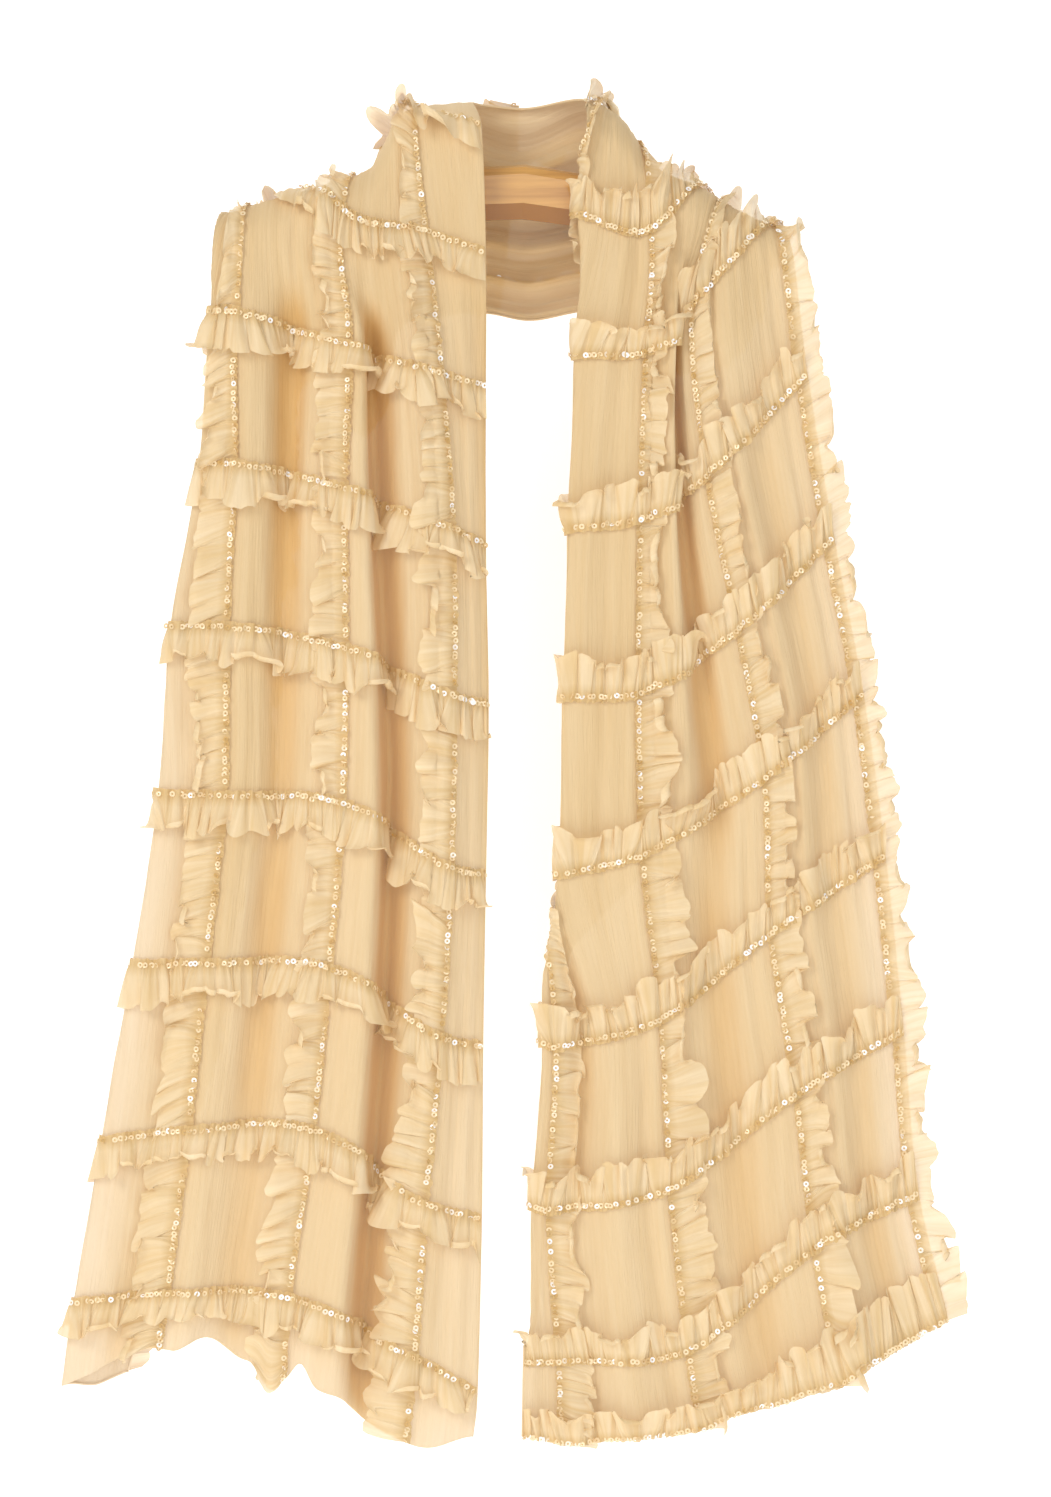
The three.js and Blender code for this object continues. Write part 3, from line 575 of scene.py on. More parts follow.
def painted_sheer_light(across, line):
    """How much painted light stands in for light coming through, most at the outer folds low down, where few
    layers hang behind.
    """
    outer_fold = STOLE_WIDTH - tucked_at("outer", line)
    near = 1 - smooth_step((outer_fold - across) / SHEER_PAINT["width"])
    low = smooth_step((np.abs(line) - SHEER_PAINT["start"]) / (SHEER_PAINT["full"] - SHEER_PAINT["start"]))
    hem_near = 1 - smooth_step((line - LEFT_HEM) / SHEER_PAINT["hem"])
    neck_near = 1 - smooth_step(across / SHEER_PAINT["width"])
    behind_neck = 1 - smooth_step((np.abs(line) - 0.8) / 0.5)
    inner = SHEER_PAINT["at_edge"] * neck_near * low + SHEER_PAINT["swag_light_paint"] * behind_neck
    return np.clip(near * low + SHEER_PAINT["at_hem"] * hem_near + inner, 0, 1)


def painted_cloth_shading(across, line):
    """The cloth's tone: 0 for painted shade in a deep valley, USUAL_TONE on the open cloth and 1 for painted
    light where sheer.
    """
    drape = the_drape()
    valley = smooth_step(-drape.read(drape.lift, across, line) / VALLEY_SHADE_DEPTH)
    return USUAL_TONE * (1 - valley) + (1 - USUAL_TONE) * painted_sheer_light(across, line) * (1 - valley)


def add_cloth(settings):
    """The stole's cloth from hem to hem, a thin shell with rolled edges."""
    drape = the_drape()
    first = round((LEFT_HEM - drape.lines[0]) * ROWS_PER_LINE)
    last = round((RIGHT_HEM - drape.lines[0]) * ROWS_PER_LINE)
    edge = round(STOLE_WIDTH / ACROSS_STEP)
    points = drape.points[first:last + 1, :edge + 1]
    normals = drape.normals[first:last + 1, :edge + 1]
    radius = settings.hem_roll / MM
    neck_side = rolled_edge(points[:, 0], unit(points[:, 0] - points[:, 1]), normals[:, 0], radius)
    outer_side = rolled_edge(points[:, -1], unit(points[:, -1] - points[:, -2]), normals[:, -1], radius)
    columns = neck_side[::-1] + [points[:, column] for column in range(edge + 1)] + outer_side
    grid = np.stack(columns, axis=1)
    across = np.concatenate([
        np.full(len(neck_side), drape.across[0]),
        drape.across[:edge + 1],
        np.full(len(outer_side), drape.across[edge]),
    ])
    line = drape.lines[first:last + 1]
    hem_normals = unit(np.cross(np.gradient(grid, axis=0)[0], np.gradient(grid, axis=1)[0]))
    hem = rolled_edge(grid[0], unit(grid[0] - grid[1]), hem_normals, radius)
    grid = np.concatenate([np.stack(hem[::-1]), grid])
    line = np.concatenate([np.full(len(hem), line[0]), line])
    lay = np.zeros(grid.shape)
    lay[..., 0] = across[None, :]
    lay[..., 1] = line[:, None] * LINE_PITCH
    rows, width = grid.shape[:2]
    piece = add_piece(
        "stole_cloth",
        grid.reshape(-1, 3),
        grid_faces(rows, width)[:, ::-1],
        cloth_material(),
        lay=lay.reshape(-1, 3),
        tone=painted_cloth_shading(lay[..., 0].ravel(), lay[..., 1].ravel() / LINE_PITCH),
    )
    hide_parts("stole_left_front", "stole_neck", "stole_right_front")


class Gathers:
    """The folds of a gathered strip: each has its own width, depth and the side that it falls to."""

    def __init__(self, rng, start, end, width, falls, turned):
        count = int((end - start) / width * 1.6) + 6
        widths = width * np.clip(np.exp(rng.normal(0, 0.42, count)), 0.45, 2.2)
        self.edges = start - 2 * width + np.concatenate([[0], np.cumsum(widths)])
        self.depths = rng.uniform(0.45, 1.3, count) * np.sqrt(widths / width)
        sides = np.where(rng.random(count) < falls, 1, -1)
        self.turns = np.radians(rng.uniform(*turned, count)) * sides

    def read(self, along):
        """The wave, from 0 to 1, the fold's width, depth and turn, and how far along the fold a place is."""
        fold = np.clip(np.searchsorted(self.edges, along) - 1, 0, len(self.depths) - 1)
        width = self.edges[fold + 1] - self.edges[fold]
        phase = (along - self.edges[fold]) / width
        return np.sin(math.pi * phase) ** 2, width, self.depths[fold], self.turns[fold], phase


def soft_noise(rng, along, period):
    """A smooth random wave between about -1 and 1."""
    start = along.min() - period
    stops = np.arange(start, along.max() + 3 * period, period)
    heights = rng.uniform(-1, 1, len(stops))
    at = (along - start) / period
    index = np.clip(at.astype(int), 0, len(stops) - 2)
    share = at - index
    return heights[index] + (heights[index + 1] - heights[index]) * share * share * (3 - 2 * share)


def within(value, span):
    """1 inside a span and 0 outside it, with the soft start and end that the span gives."""
    start, rise, end, fall = span
    return smooth_step((value - start) / rise) * smooth_step((end - value) / fall)


def crossing_share(line):
    """1 where a lengthwise ruffle passes under a cross ruffle, and 0 between them."""
    return within((line - np.round(line)) * LINE_PITCH, UNDER_CROSS)


def long_crossing_share(across):
    """1 where a cross ruffle passes over a lengthwise ruffle, and 0 between them."""
    return np.max([within(across - at, OVER_LONG) for at in LONG_LINES], axis=0)


def turned_back(share, turn):
    """A free edge that curls back: how far out and how far up it goes, as shares of the ruffle's width."""
    past = np.maximum(share - CURL_START, 0)
    angle = turn * past / (1 - CURL_START) * math.pi
    held = np.maximum(angle, 1e-6)
    arc = past / held
    reach = np.minimum(share, CURL_START) + arc * np.sin(held)
    rise = arc * (1 - np.cos(held))
    return np.where(past > 0, reach, share), np.minimum(rise, 1 - CURL_START)


class Strip:
    """One ruffle's own coordinates, and the folds and puckers that it is gathered into."""

    def __init__(self, seed, start, end, fold, kind, settings):
        self.rng = np.random.default_rng(seed)
        self.kind = kind
        self.along = np.linspace(start, end, round((end - start) / RUFFLE_STEP) + 1)
        self.width = settings.width / MM
        heading = settings.heading / MM
        rows = np.concatenate([[-heading, -0.5 * heading], np.linspace(0, 1, RUFFLE_ROWS) * self.width])
        self.set_rows(rows)
        folds = Gathers(self.rng, start, end, fold / MM, kind["falls"], kind["turned"])
        read = [values[:, None] for values in folds.read(self.along)]
        self.wave, self.fold_width, self.depth, self.turn, self.phase = read
        small = Gathers(self.rng, start, end, settings.root_fold / MM, 0.5, PUCKER_TURNED)
        height, _, pucker_depth, _, _ = (v[:, None] for v in small.read(self.along))
        self.pucker = height * pucker_depth

    def set_rows(self, rows):
        """Sample the strip at these distances from its stitching, from its heading to its free edge."""
        self.s, self.r = np.meshgrid(self.along, rows, indexing="ij")
        self.share = np.clip(self.r / self.width, 0, 1)

    def noise(self, period):
        """A smooth random wave along the strip, the same for all its rows."""
        return soft_noise(self.rng, self.along, period)[:, None]

    def pinch(self):
        """How far the cloth is drawn along the seam by its folds."""
        wave = np.sin(2 * math.pi * self.phase)
        return self.kind["pinch"] * self.fold_width / (2 * math.pi) * wave * self.share

    def free_edge(self, shorter, calm):
        """How far each point lies from the stitching, and how far a curled edge stands up."""
        usual, uneven, period = self.kind["reach"]
        reach = usual + uneven * self.noise(period) + EDGE_UNEVEN * self.noise(2.3)
        reach = reach - shorter - self.kind["dip"] * (1 - self.wave)
        fray = 1 + FRAY * self.noise(2.4)
        middle, curl_period, turns = self.kind["curl"]
        curl = smooth_step(middle + 0.9 * self.noise(curl_period)) * calm
        back, rise = turned_back(self.share, curl * turns)
        return np.where(self.r > 0, back * self.width * reach, self.r * fray), rise * self.width * CURL_RISE

    def lay(self):
        """The strip's own coordinates, for its streaks."""
        return np.stack([self.s * STRIP_STRETCH, self.r, np.zeros_like(self.s)], axis=-1)


def long_ruffle(across, ends, seed, settings):
    """One lengthwise ruffle: its points, its own coordinates, and each point's share of its width."""
    drape = the_drape()
    start, end = (at * LINE_PITCH for at in ends)
    strip = Strip(seed, start, end, settings.long_fold, LONG_KIND, settings)
    share = strip.share
    line = strip.s / LINE_PITCH
    # Each side's free edge falls downward, and the two meet behind the neck.
    down = np.clip(line / 0.6, -1, 1)
    flat = 1 - 0.6 * crossing_share(line)
    calm = 1 - 0.4 * smooth_step(drape.read(drape.behind, across + strip.r, line) / CALM_DEPTH)
    depth = settings.long_depth / MM * strip.depth * share ** FOLD_GROWTH * flat * calm
    lift = 1.1 + 0.7 * share + strip.wave * depth * np.cos(strip.turn)
    lift += strip.pucker * 2.0 * (1 - 0.8 * share) * np.where(strip.r < 0, 1.0, 0.8) * flat
    shift = down * strip.wave * depth * np.sin(strip.turn) - strip.pinch() * flat
    shift += down * settings.droop / MM * share ** 1.6 * (1 + 0.4 * strip.noise(31.0))
    shorter = 0.45 * (1 - smooth_step((np.abs(line) - 0.9) / 0.5))
    if across == LONG_LINES[-1]:
        shorter += 0.2
    outward, rise = strip.free_edge(shorter, flat * calm)
    place = drape.place(across + outward, (strip.s + shift) / LINE_PITCH, np.maximum(lift + rise, 0.7))
    return place, strip.lay(), share


def cross_ruffle(line, seed, settings):
    """One cross ruffle: its points, its own coordinates, and each point's share of its width."""
    drape = the_drape()
    strip = Strip(seed, 0, STOLE_WIDTH, settings.cross_fold, CROSS_KIND, settings)
    if line == RIGHT_HEM:
        strip.set_rows(np.maximum(strip.r[0], -HEM_HEADING))
    share = strip.share
    over = long_crossing_share(strip.s)
    calm = 1 - 0.5 * smooth_step(drape.read(drape.behind, strip.s, np.full_like(strip.s, line)) / CALM_DEPTH)
    fluff = 1 + COLLAR_FLUFF * (line == -1)
    depth = settings.cross_depth / MM * strip.depth * share ** FOLD_GROWTH * calm * fluff
    lift = 1.3 + 1.2 * share + 2.4 * over + strip.wave * depth * np.cos(strip.turn)
    lift += strip.pucker * 2.1 * (1 - 0.8 * share)
    lift += 2.4 * share * (0.6 + strip.noise(27.0)) * calm * fluff ** 2
    shift = strip.wave * depth * np.sin(strip.turn) - strip.pinch() + 4.0 * share * strip.noise(30.0)
    outward, rise = strip.free_edge(0, calm)
    across = np.clip(strip.s + shift, 0, STOLE_WIDTH + CROSS_OVERHANG)
    place = drape.place(across, line - outward / LINE_PITCH, np.maximum(lift + rise, 0.8))
    return place, strip.lay(), share


def add_ruffles(name, strips, node_start):
    """All ruffles that run one way, as one piece."""
    points = []
    lays = []
    tones = []
    faces = []
    count = 0
    for place, lay, share in strips:
        rows, columns = share.shape
        points.append(place.reshape(-1, 3))
        lays.append(lay.reshape(-1, 3))
        # A point's share of the width picks the painted shade at the stitching.
        tones.append(share.ravel())
        faces.append(grid_faces(rows, columns, count))
        count += rows * columns
    piece = add_piece(
        name,
        np.concatenate(points),
        np.concatenate(faces),
        ruffle_material(),
        lay=np.concatenate(lays),
        tone=np.concatenate(tones),
    )
    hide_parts(*[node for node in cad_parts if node.startswith(node_start)])
    return piece


def seam_places(stretch, spacing, rng):
    """Where the sequins of one stretch are sewn: across, line, lift and whether the seam runs across."""
    start, end = STRETCHES[stretch]
    places = []
    for at in LONG_LINES:
        count = round((end - start) * LINE_PITCH / spacing)
        lines = np.linspace(start, end, count, endpoint=False)
        lines += rng.uniform(-0.3, 0.3, count) * spacing / LINE_PITCH
        shown = crossing_share(lines) < 0.5
        lifts = LONG_SEAM_LIFT + rng.uniform(-0.3, 0.7, count)
        side = at + rng.normal(0, 0.5, count) - 0.4
        places.append(np.stack([side, lines, lifts, np.zeros(count)], axis=-1)[shown])
    for line in CROSS_LINES[stretch]:
        count = round(STOLE_WIDTH / spacing)
        across = (np.arange(count) + 0.5 + rng.uniform(-0.3, 0.3, count)) * spacing
        lifts = CROSS_SEAM_LIFT + rng.uniform(-0.3, 0.8, count) + OVER_LIFT * long_crossing_share(across)
        drawn = line + rng.normal(0, 0.5, count) / LINE_PITCH
        places.append(np.stack([across, drawn, lifts, np.ones(count)], axis=-1))
    return np.concatenate(places)


def add_sequins(stretch, settings):
    """The ring sequins along one stretch's seams, as one piece."""
    rng = np.random.default_rng(SEQUIN_SEEDS[stretch])
    drape = the_drape()
    places = seam_places(stretch, settings.spacing / MM, rng)
    across, line, lift, crosses = places.T
    centres = drape.place(across, line, lift)
    normals = unit(drape.read(drape.normals, across, line))
    ahead = unit(drape.place(across + 2, line, lift) - centres)
    tilt = np.radians(rng.normal(0, settings.tilt, len(across)))
    spin = rng.uniform(0, 2 * math.pi, len(across))
    aside = np.cross(normals, ahead)
    lean_to = ahead * np.cos(spin)[:, None] + aside * np.sin(spin)[:, None]
    facing = unit(normals * np.cos(tilt)[:, None] + lean_to * np.sin(tilt)[:, None])
    first = unit(np.cross(facing, lean_to + 0.01))
    second = np.cross(facing, first)
    outer = settings.diameter / MM / 2
    hole = settings.hole / MM / 2
    rings = ((outer, 0.28), ((outer + hole) / 2, 0.0), (hole, 0.1))
    angles = np.arange(SEQUIN_SIDES) * 2 * math.pi / SEQUIN_SIDES
    points = np.zeros((len(across), len(rings), SEQUIN_SIDES, 3))
    for ring, (radius, rise) in enumerate(rings):
        circle = first[:, None] * np.cos(angles)[:, None] + second[:, None] * np.sin(angles)[:, None]
        points[:, ring] = centres[:, None] + radius * circle + rise * facing[:, None]
    ring_size = len(rings) * SEQUIN_SIDES
    around = np.arange(SEQUIN_SIDES)
    following = (around + 1) % SEQUIN_SIDES
    one = np.concatenate([
        np.stack([
            ring * SEQUIN_SIDES + around,
            ring * SEQUIN_SIDES + following,
            (ring + 1) * SEQUIN_SIDES + following,
            (ring + 1) * SEQUIN_SIDES + around,
        ], axis=-1)
        for ring in range(len(rings) - 1)
    ])
    faces = (one[None] + (np.arange(len(across)) * ring_size)[:, None, None]).reshape(-1, 4)
    # Painted glints: high tones get the white glint colour, more of them in runs and on cross seams; low ones
    # are gold.
    run = np.sin(across / 37.0 + line * 4.1) * np.sin(across / 11.0 + line * 9.7 + 1.0)
    bright = rng.random(len(across)) * 0.9 + 0.03 * crosses + 0.26 * np.maximum(run, 0)
    tone = np.repeat(np.clip(bright, 0, 1), ring_size)
    piece = add_piece("sequins_" + stretch, points.reshape(-1, 3), faces, sequin_material(), tone=tone)


def add_node(tree, kind, at, inputs=None, **settings):
    """A shader node at a place in its tree, with the values of its inputs and its own settings."""
    node = tree.nodes.new(kind)
    node.location = at
    for name, value in settings.items():
        setattr(node, name, value)
    for name, value in (inputs or {}).items():
        node.inputs[name].default_value = value
    return node


def connect(tree, *links):
    """Join nodes. Each link gives a node and its output, then a node and its input."""
    for source, output, target, entry in links:
        tree.links.new(source.outputs[output], target.inputs[entry])


def add_ramp(tree, at, stops):
    """A colour ramp with its stops, as (position, colour), from the lowest to the highest."""
    (first_at, first), *others, (last_at, last) = stops
    ramp = add_node(tree, "ShaderNodeValToRGB", at)
    low, high = ramp.color_ramp.elements
    low.position = first_at
    low.color = (*first, 1)
    high.position = last_at
    high.color = (*last, 1)
    for position, colour in others:
        ramp.color_ramp.elements.new(position).color = (*colour, 1)
    return ramp


def add_output(tree, shader, shader_output="BSDF"):
    """The material's output, fed by a shader."""
    output = add_node(tree, "ShaderNodeOutputMaterial", (300, 0))
    connect(tree, (shader, shader_output, output, "Surface"))


def crinkle_group():
    """Streaks that run along crinkled chiffon, for its colour and its height."""
    name = "crinkled chiffon"
    if name in bpy.data.node_groups:
        return bpy.data.node_groups[name]
    group = bpy.data.node_groups.new(name, "ShaderNodeTree")
    for socket, kind, way, value in (
        ("Pale colour", "NodeSocketColor", "INPUT", (0.8, 0.6, 0.36, 1)),
        ("Deep colour", "NodeSocketColor", "INPUT", (0.7, 0.45, 0.2, 1)),
        ("Depth", "NodeSocketFloat", "INPUT", 0.5),
        ("Colour", "NodeSocketColor", "OUTPUT", None),
        ("Height", "NodeSocketFloat", "OUTPUT", None),
    ):
        made = group.interface.new_socket(name=socket, in_out=way, socket_type=kind)
        if value is not None:
            made.default_value = value
    given = add_node(group, "NodeGroupInput", (-900, 0))
    result = add_node(group, "NodeGroupOutput", (700, 0))
    lay = add_node(group, "ShaderNodeAttribute", (-900, -260), attribute_name="lay")
    streaks = []
    for number, (across_scale, along_scale, detail) in enumerate(STREAKS):
        stretched = add_node(
            group, "ShaderNodeMapping", (-680, -260 * number), {"Scale": (across_scale, along_scale, 1)}
        )
        noise = add_node(
            group,
            "ShaderNodeTexNoise",
            (-460, -260 * number),
            {"Scale": 1.0, "Detail": detail},
            noise_dimensions="2D",
        )
        connect(group, (lay, "Vector", stretched, "Vector"), (stretched, "Vector", noise, "Vector"))
        streaks.append(noise)
    fine, middling, broad = streaks
    both = add_node(group, "ShaderNodeMath", (-220, -60), {1: 1.6}, operation="MULTIPLY_ADD")
    height = add_node(group, "ShaderNodeMath", (0, -60), operation="MULTIPLY")
    patch = add_node(group, "ShaderNodeMath", (-220, -300), {1: 1.2}, operation="MULTIPLY_ADD")
    spread = add_node(group, "ShaderNodeMapRange", (0, -300), {"From Min": 0.7, "From Max": 1.5})
    tint = add_node(group, "ShaderNodeMix", (280, 60), data_type="RGBA")
    connect(
        group,
        (middling, "Fac", both, 0),
        (fine, "Fac", both, 2),
        (both, 0, height, 0),
        (given, "Depth", height, 1),
        (broad, "Fac", patch, 0),
        (middling, "Fac", patch, 2),
        (patch, 0, spread, "Value"),
        (spread, "Result", tint, 0),
        (given, "Deep colour", tint, 6),
        (given, "Pale colour", tint, 7),
        (tint, 2, result, "Colour"),
        (height, 0, result, "Height"),
    )
    return group


def new_material(name):
    """An empty node material, or the one that has the name already, with whether it is new."""
    if name in bpy.data.materials:
        return bpy.data.materials[name], False
    material = bpy.data.materials.new(name)
    material.use_nodes = True
    material.node_tree.nodes.clear()
    return material, True


def chiffon(name, settings, sheen, tints):
    """Crinkled chiffon: a soft sheen over streaks of two near colours, tinted by the piece's own tone with
    painted light and shade, and a painted glow.
    """
    material, is_new = new_material(name)
    if not is_new:
        return material
    tree = material.node_tree
    weave = add_node(tree, "ShaderNodeGroup", (-500, 0), node_tree=crinkle_group())
    weave.inputs["Pale colour"].default_value = (*settings.pale, 1)
    weave.inputs["Deep colour"].default_value = (*settings.deep, 1)
    weave.inputs["Depth"].default_value = settings.crinkle
    bump = add_node(tree, "ShaderNodeBump", (-250, -250), {"Strength": 1.0, "Distance": 0.0006})
    # The emission is a painted glow in the cloth's own colour.
    shader = add_node(tree, "ShaderNodeBsdfPrincipled", (0, 0), {
        "Roughness": 0.72,
        "Sheen Weight": sheen,
        "Sheen Roughness": 0.45,
        "Sheen Tint": (1.0, 0.84, 0.6, 1),
        "Specular IOR Level": 0.18,
        "Alpha": settings.opacity,
        "Emission Strength": settings.glow,
    })
    tone = add_node(tree, "ShaderNodeAttribute", (-900, 300), attribute_name="tone")
    ramp = add_ramp(tree, (-700, 300), tints)
    shade = add_node(tree, "ShaderNodeMix", (-250, 200), data_type="RGBA", blend_type="MULTIPLY")
    shade.inputs[0].default_value = 1.0
    connect(
        tree,
        (tone, "Fac", ramp, "Fac"),
        (weave, "Colour", shade, 6),
        (ramp, "Color", shade, 7),
        (shade, 2, shader, "Base Color"),
        (shade, 2, shader, "Emission Color"),
        (weave, "Height", bump, "Height"),
        (bump, "Normal", shader, "Normal"),
    )
    add_output(tree, shader)
    return material


def cloth_material():
    """The stole's own cloth, with painted shade in deep valleys and painted light where it is sheer."""
    settings = bpy.context.scene.stole_cloth
    tints = ((0, settings.valley), (USUAL_TONE, settings.usual), (1, settings.sheer))
    return chiffon("stole chiffon", settings, 0.15, tints)


def ruffle_material():
    """The ruffles' cloth, a little sheerer, with painted shade in the tight gathers at the stitching."""
    settings = bpy.context.scene.stole_ruffles
    return chiffon("ruffle chiffon", settings, 0.2, ((0, settings.root), (0.3, (1, 1, 1))))


def sequin_material():
    """Clear and gold-tinted sequins, a few painted white as glints, all with a painted reflection from their
    emission.
    """
    material, is_new = new_material("ring sequins")
    if not is_new:
        return material
    settings = bpy.context.scene.stole_sequins
    tree = material.node_tree
    tone = add_node(tree, "ShaderNodeAttribute", (-700, 0), attribute_name="tone")
    # The highest tones are painted glints in white.
    ramp = add_ramp(
        tree,
        (-480, 0),
        ((0.12, settings.gold), (0.3, settings.clear), (0.78, settings.clear), (0.88, settings.bright)),
    )
    dull_to_shiny = {"From Min": 0.2, "From Max": 0.9, "To Min": 0.32, "To Max": 0.08}
    shine = add_node(tree, "ShaderNodeMapRange", (-480, -300), dull_to_shiny)
    # The emission is a painted reflection in each sequin's own colour.
    shader = add_node(tree, "ShaderNodeBsdfPrincipled", (0, 0), {
        "Metallic": 0.1,
        "Coat Weight": 0.5,
        "Coat Roughness": 0.06,
        "Alpha": settings.opacity,
        "Emission Strength": settings.glow,
    })
    connect(
        tree,
        (tone, "Fac", ramp, "Fac"),
        (tone, "Fac", shine, "Value"),
        (ramp, "Color", shader, "Base Color"),
        (ramp, "Color", shader, "Emission Color"),
        (shine, "Result", shader, "Roughness"),
    )
    add_output(tree, shader)
    return material


def wood_material():
    """Varnished honey-coloured wood with its grain along the bar, and painted shade on the faces that look down.
    """
    material, is_new = new_material("varnished wood")
    if not is_new:
        return material
    settings = bpy.context.scene.stole_hanger
    tree = material.node_tree
    where = add_node(tree, "ShaderNodeTexCoord", (-1100, 0))
    stretched = add_node(tree, "ShaderNodeMapping", (-900, 0), {"Scale": (9, 90, 150)})
    grain = add_node(tree, "ShaderNodeTexNoise", (-700, 0), {"Scale": 1.0, "Detail": 6, "Distortion": 0.6})
    pores = add_node(tree, "ShaderNodeMapping", (-900, -350), {"Scale": (70, 700, 900)})
    pore_noise = add_node(tree, "ShaderNodeTexNoise", (-700, -350), {"Scale": 1.0})
    ramp = add_ramp(tree, (-450, 0), ((0.34, settings.dark), (0.68, settings.pale)))
    bump = add_node(tree, "ShaderNodeBump", (-250, -350), {"Strength": 0.12, "Distance": 0.0003})
    varnish = {"Roughness": 0.34, "Coat Weight": 0.7, "Coat Roughness": 0.08}
    shader = add_node(tree, "ShaderNodeBsdfPrincipled", (0, 0), varnish)
    # Painted shade: faces that look down are darkened towards the underside colour.
    facing = add_node(tree, "ShaderNodeNewGeometry", (-900, 350))
    parts = add_node(tree, "ShaderNodeSeparateXYZ", (-700, 350))
    downward = add_node(tree, "ShaderNodeMapRange", (-500, 350), {"From Min": -0.15, "From Max": -0.5})
    shaded = add_node(tree, "ShaderNodeMix", (-220, 150), data_type="RGBA")
    shaded.inputs[7].default_value = (*settings.under, 1)
    connect(
        tree,
        (where, "Object", stretched, "Vector"),
        (where, "Object", pores, "Vector"),
        (stretched, "Vector", grain, "Vector"),
        (pores, "Vector", pore_noise, "Vector"),
        (facing, "Normal", parts, "Vector"),
        (parts, "Z", downward, "Value"),
        (downward, "Result", shaded, 0),
        (grain, "Fac", ramp, "Fac"),
        (ramp, "Color", shaded, 6),
        (shaded, 2, shader, "Base Color"),
        (pore_noise, "Fac", bump, "Height"),
        (bump, "Normal", shader, "Normal"),
    )
    add_output(tree, shader)
    return material


def paper_material(name, colour, glow):
    """Plain studio paper that is clear from behind."""
    material, is_new = new_material(name)
    if not is_new:
        return material
    tree = material.node_tree
    side = add_node(tree, "ShaderNodeNewGeometry", (-500, 200))
    shader = add_node(tree, "ShaderNodeBsdfPrincipled", (-300, 0), {
        "Roughness": 1.0,
        "Base Color": (*colour, 1),
        "Emission Color": (*colour, 1),
        "Emission Strength": glow,
        "Specular IOR Level": 0.0,
    })
    clear = add_node(tree, "ShaderNodeBsdfTransparent", (-300, -250))
    either = add_node(tree, "ShaderNodeMixShader", (0, 0))
    connect(
        tree,
        (side, "Backfacing", either, "Fac"),
        (shader, "BSDF", either, 1),
        (clear, "BSDF", either, 2),
    )
    add_output(tree, either, "Shader")
    return material


def add_paper(name, corners, material):
    """One flat sheet of studio paper."""
    mesh = bpy.data.meshes.new(name)
    mesh.from_pydata(corners, [], [(0, 1, 2, 3)])
    mesh.materials.append(material)
    paper = bpy.data.objects.new(name, mesh)
    bpy.context.scene.collection.objects.link(paper)


def add_light(name, place, aim, size, power, colour):
    """A square soft light that looks at a point."""
    lamp = bpy.data.lights.new(name, "AREA")
    lamp.shape = "SQUARE"
    lamp.size = size
    lamp.energy = power
    lamp.color = colour
    light = bpy.data.objects.new(name, lamp)
    light.location = place
    light.rotation_mode = "QUATERNION"
    light.rotation_quaternion = (Vector(aim) - Vector(place)).to_track_quat("-Z", "Y")
    bpy.context.scene.collection.objects.link(light)


def a_number(name, description, default, least, most, **kind):
    """A number that a user can change, with its unit or subtype where one fits."""
    return bpy.props.FloatProperty(
        name=name, description=description, default=default, min=least, max=most, **kind
    )


def a_length(name, description, default, least, most):
    """A length that a user can change, in metres."""
    return a_number(name, description, default, least, most, unit="LENGTH")


def a_share(name, description, default):
    """A share from 0 to 1 that a user can change."""
    return a_number(name, description, default, 0, 1, subtype="FACTOR")


def a_colour(name, description, default, most=1):
    """A colour or a tint that a user can change."""
    return bpy.props.FloatVectorProperty(
        name=name, description=description, default=default, min=0, max=most, subtype="COLOR"
    )


OPACITY = "How much a single layer hides of what lies behind it"
# Painted glow: emission in the cloth's own colour, which lifts its shade as if light soaked through from behind.
PAINTED_GLOW = "Light that soaks through the sheer cloth from behind"
STREAK_DEPTH = "How deep the fine streaks are"


class ClothSettings(bpy.types.PropertyGroup):
    """Sizes and colours of the stole's cloth."""

    pale: a_colour("Pale colour", "Colour of the cloth on the crests of its crinkle", (0.80, 0.60, 0.33))
    deep: a_colour("Deep colour", "Colour of the cloth between the crests", (0.76, 0.552, 0.285))
    crinkle: a_number("Crinkle", STREAK_DEPTH, 0.5, 0, 2)
    opacity: a_share("Opacity", OPACITY, 0.96)
    # Painted shade: this tint darkens the colour in the deep valleys of the folds.
    valley: a_colour(
        "Valley tint", "How much of each colour is left in a deep valley", (0.87, 0.75, 0.57), 2
    )
    usual: a_colour(
        "Usual tint", "How much of each colour is left on the open cloth", (0.94, 0.94, 0.98), 2
    )
    # Painted light: this tint pales the colour where light would come through a single layer.
    sheer: a_colour(
        "Sheer tint",
        "How much of each colour is left where light comes through a single layer",
        (1.07, 1.16, 1.5),
        2,
    )
    # Painted glow of the cloth.
    glow: a_number("Glow", PAINTED_GLOW, 0.07, 0, 1)
    hem_roll: a_length("Hem roll", "Radius of the rolled hem", 0.0009, 0.0003, 0.003)


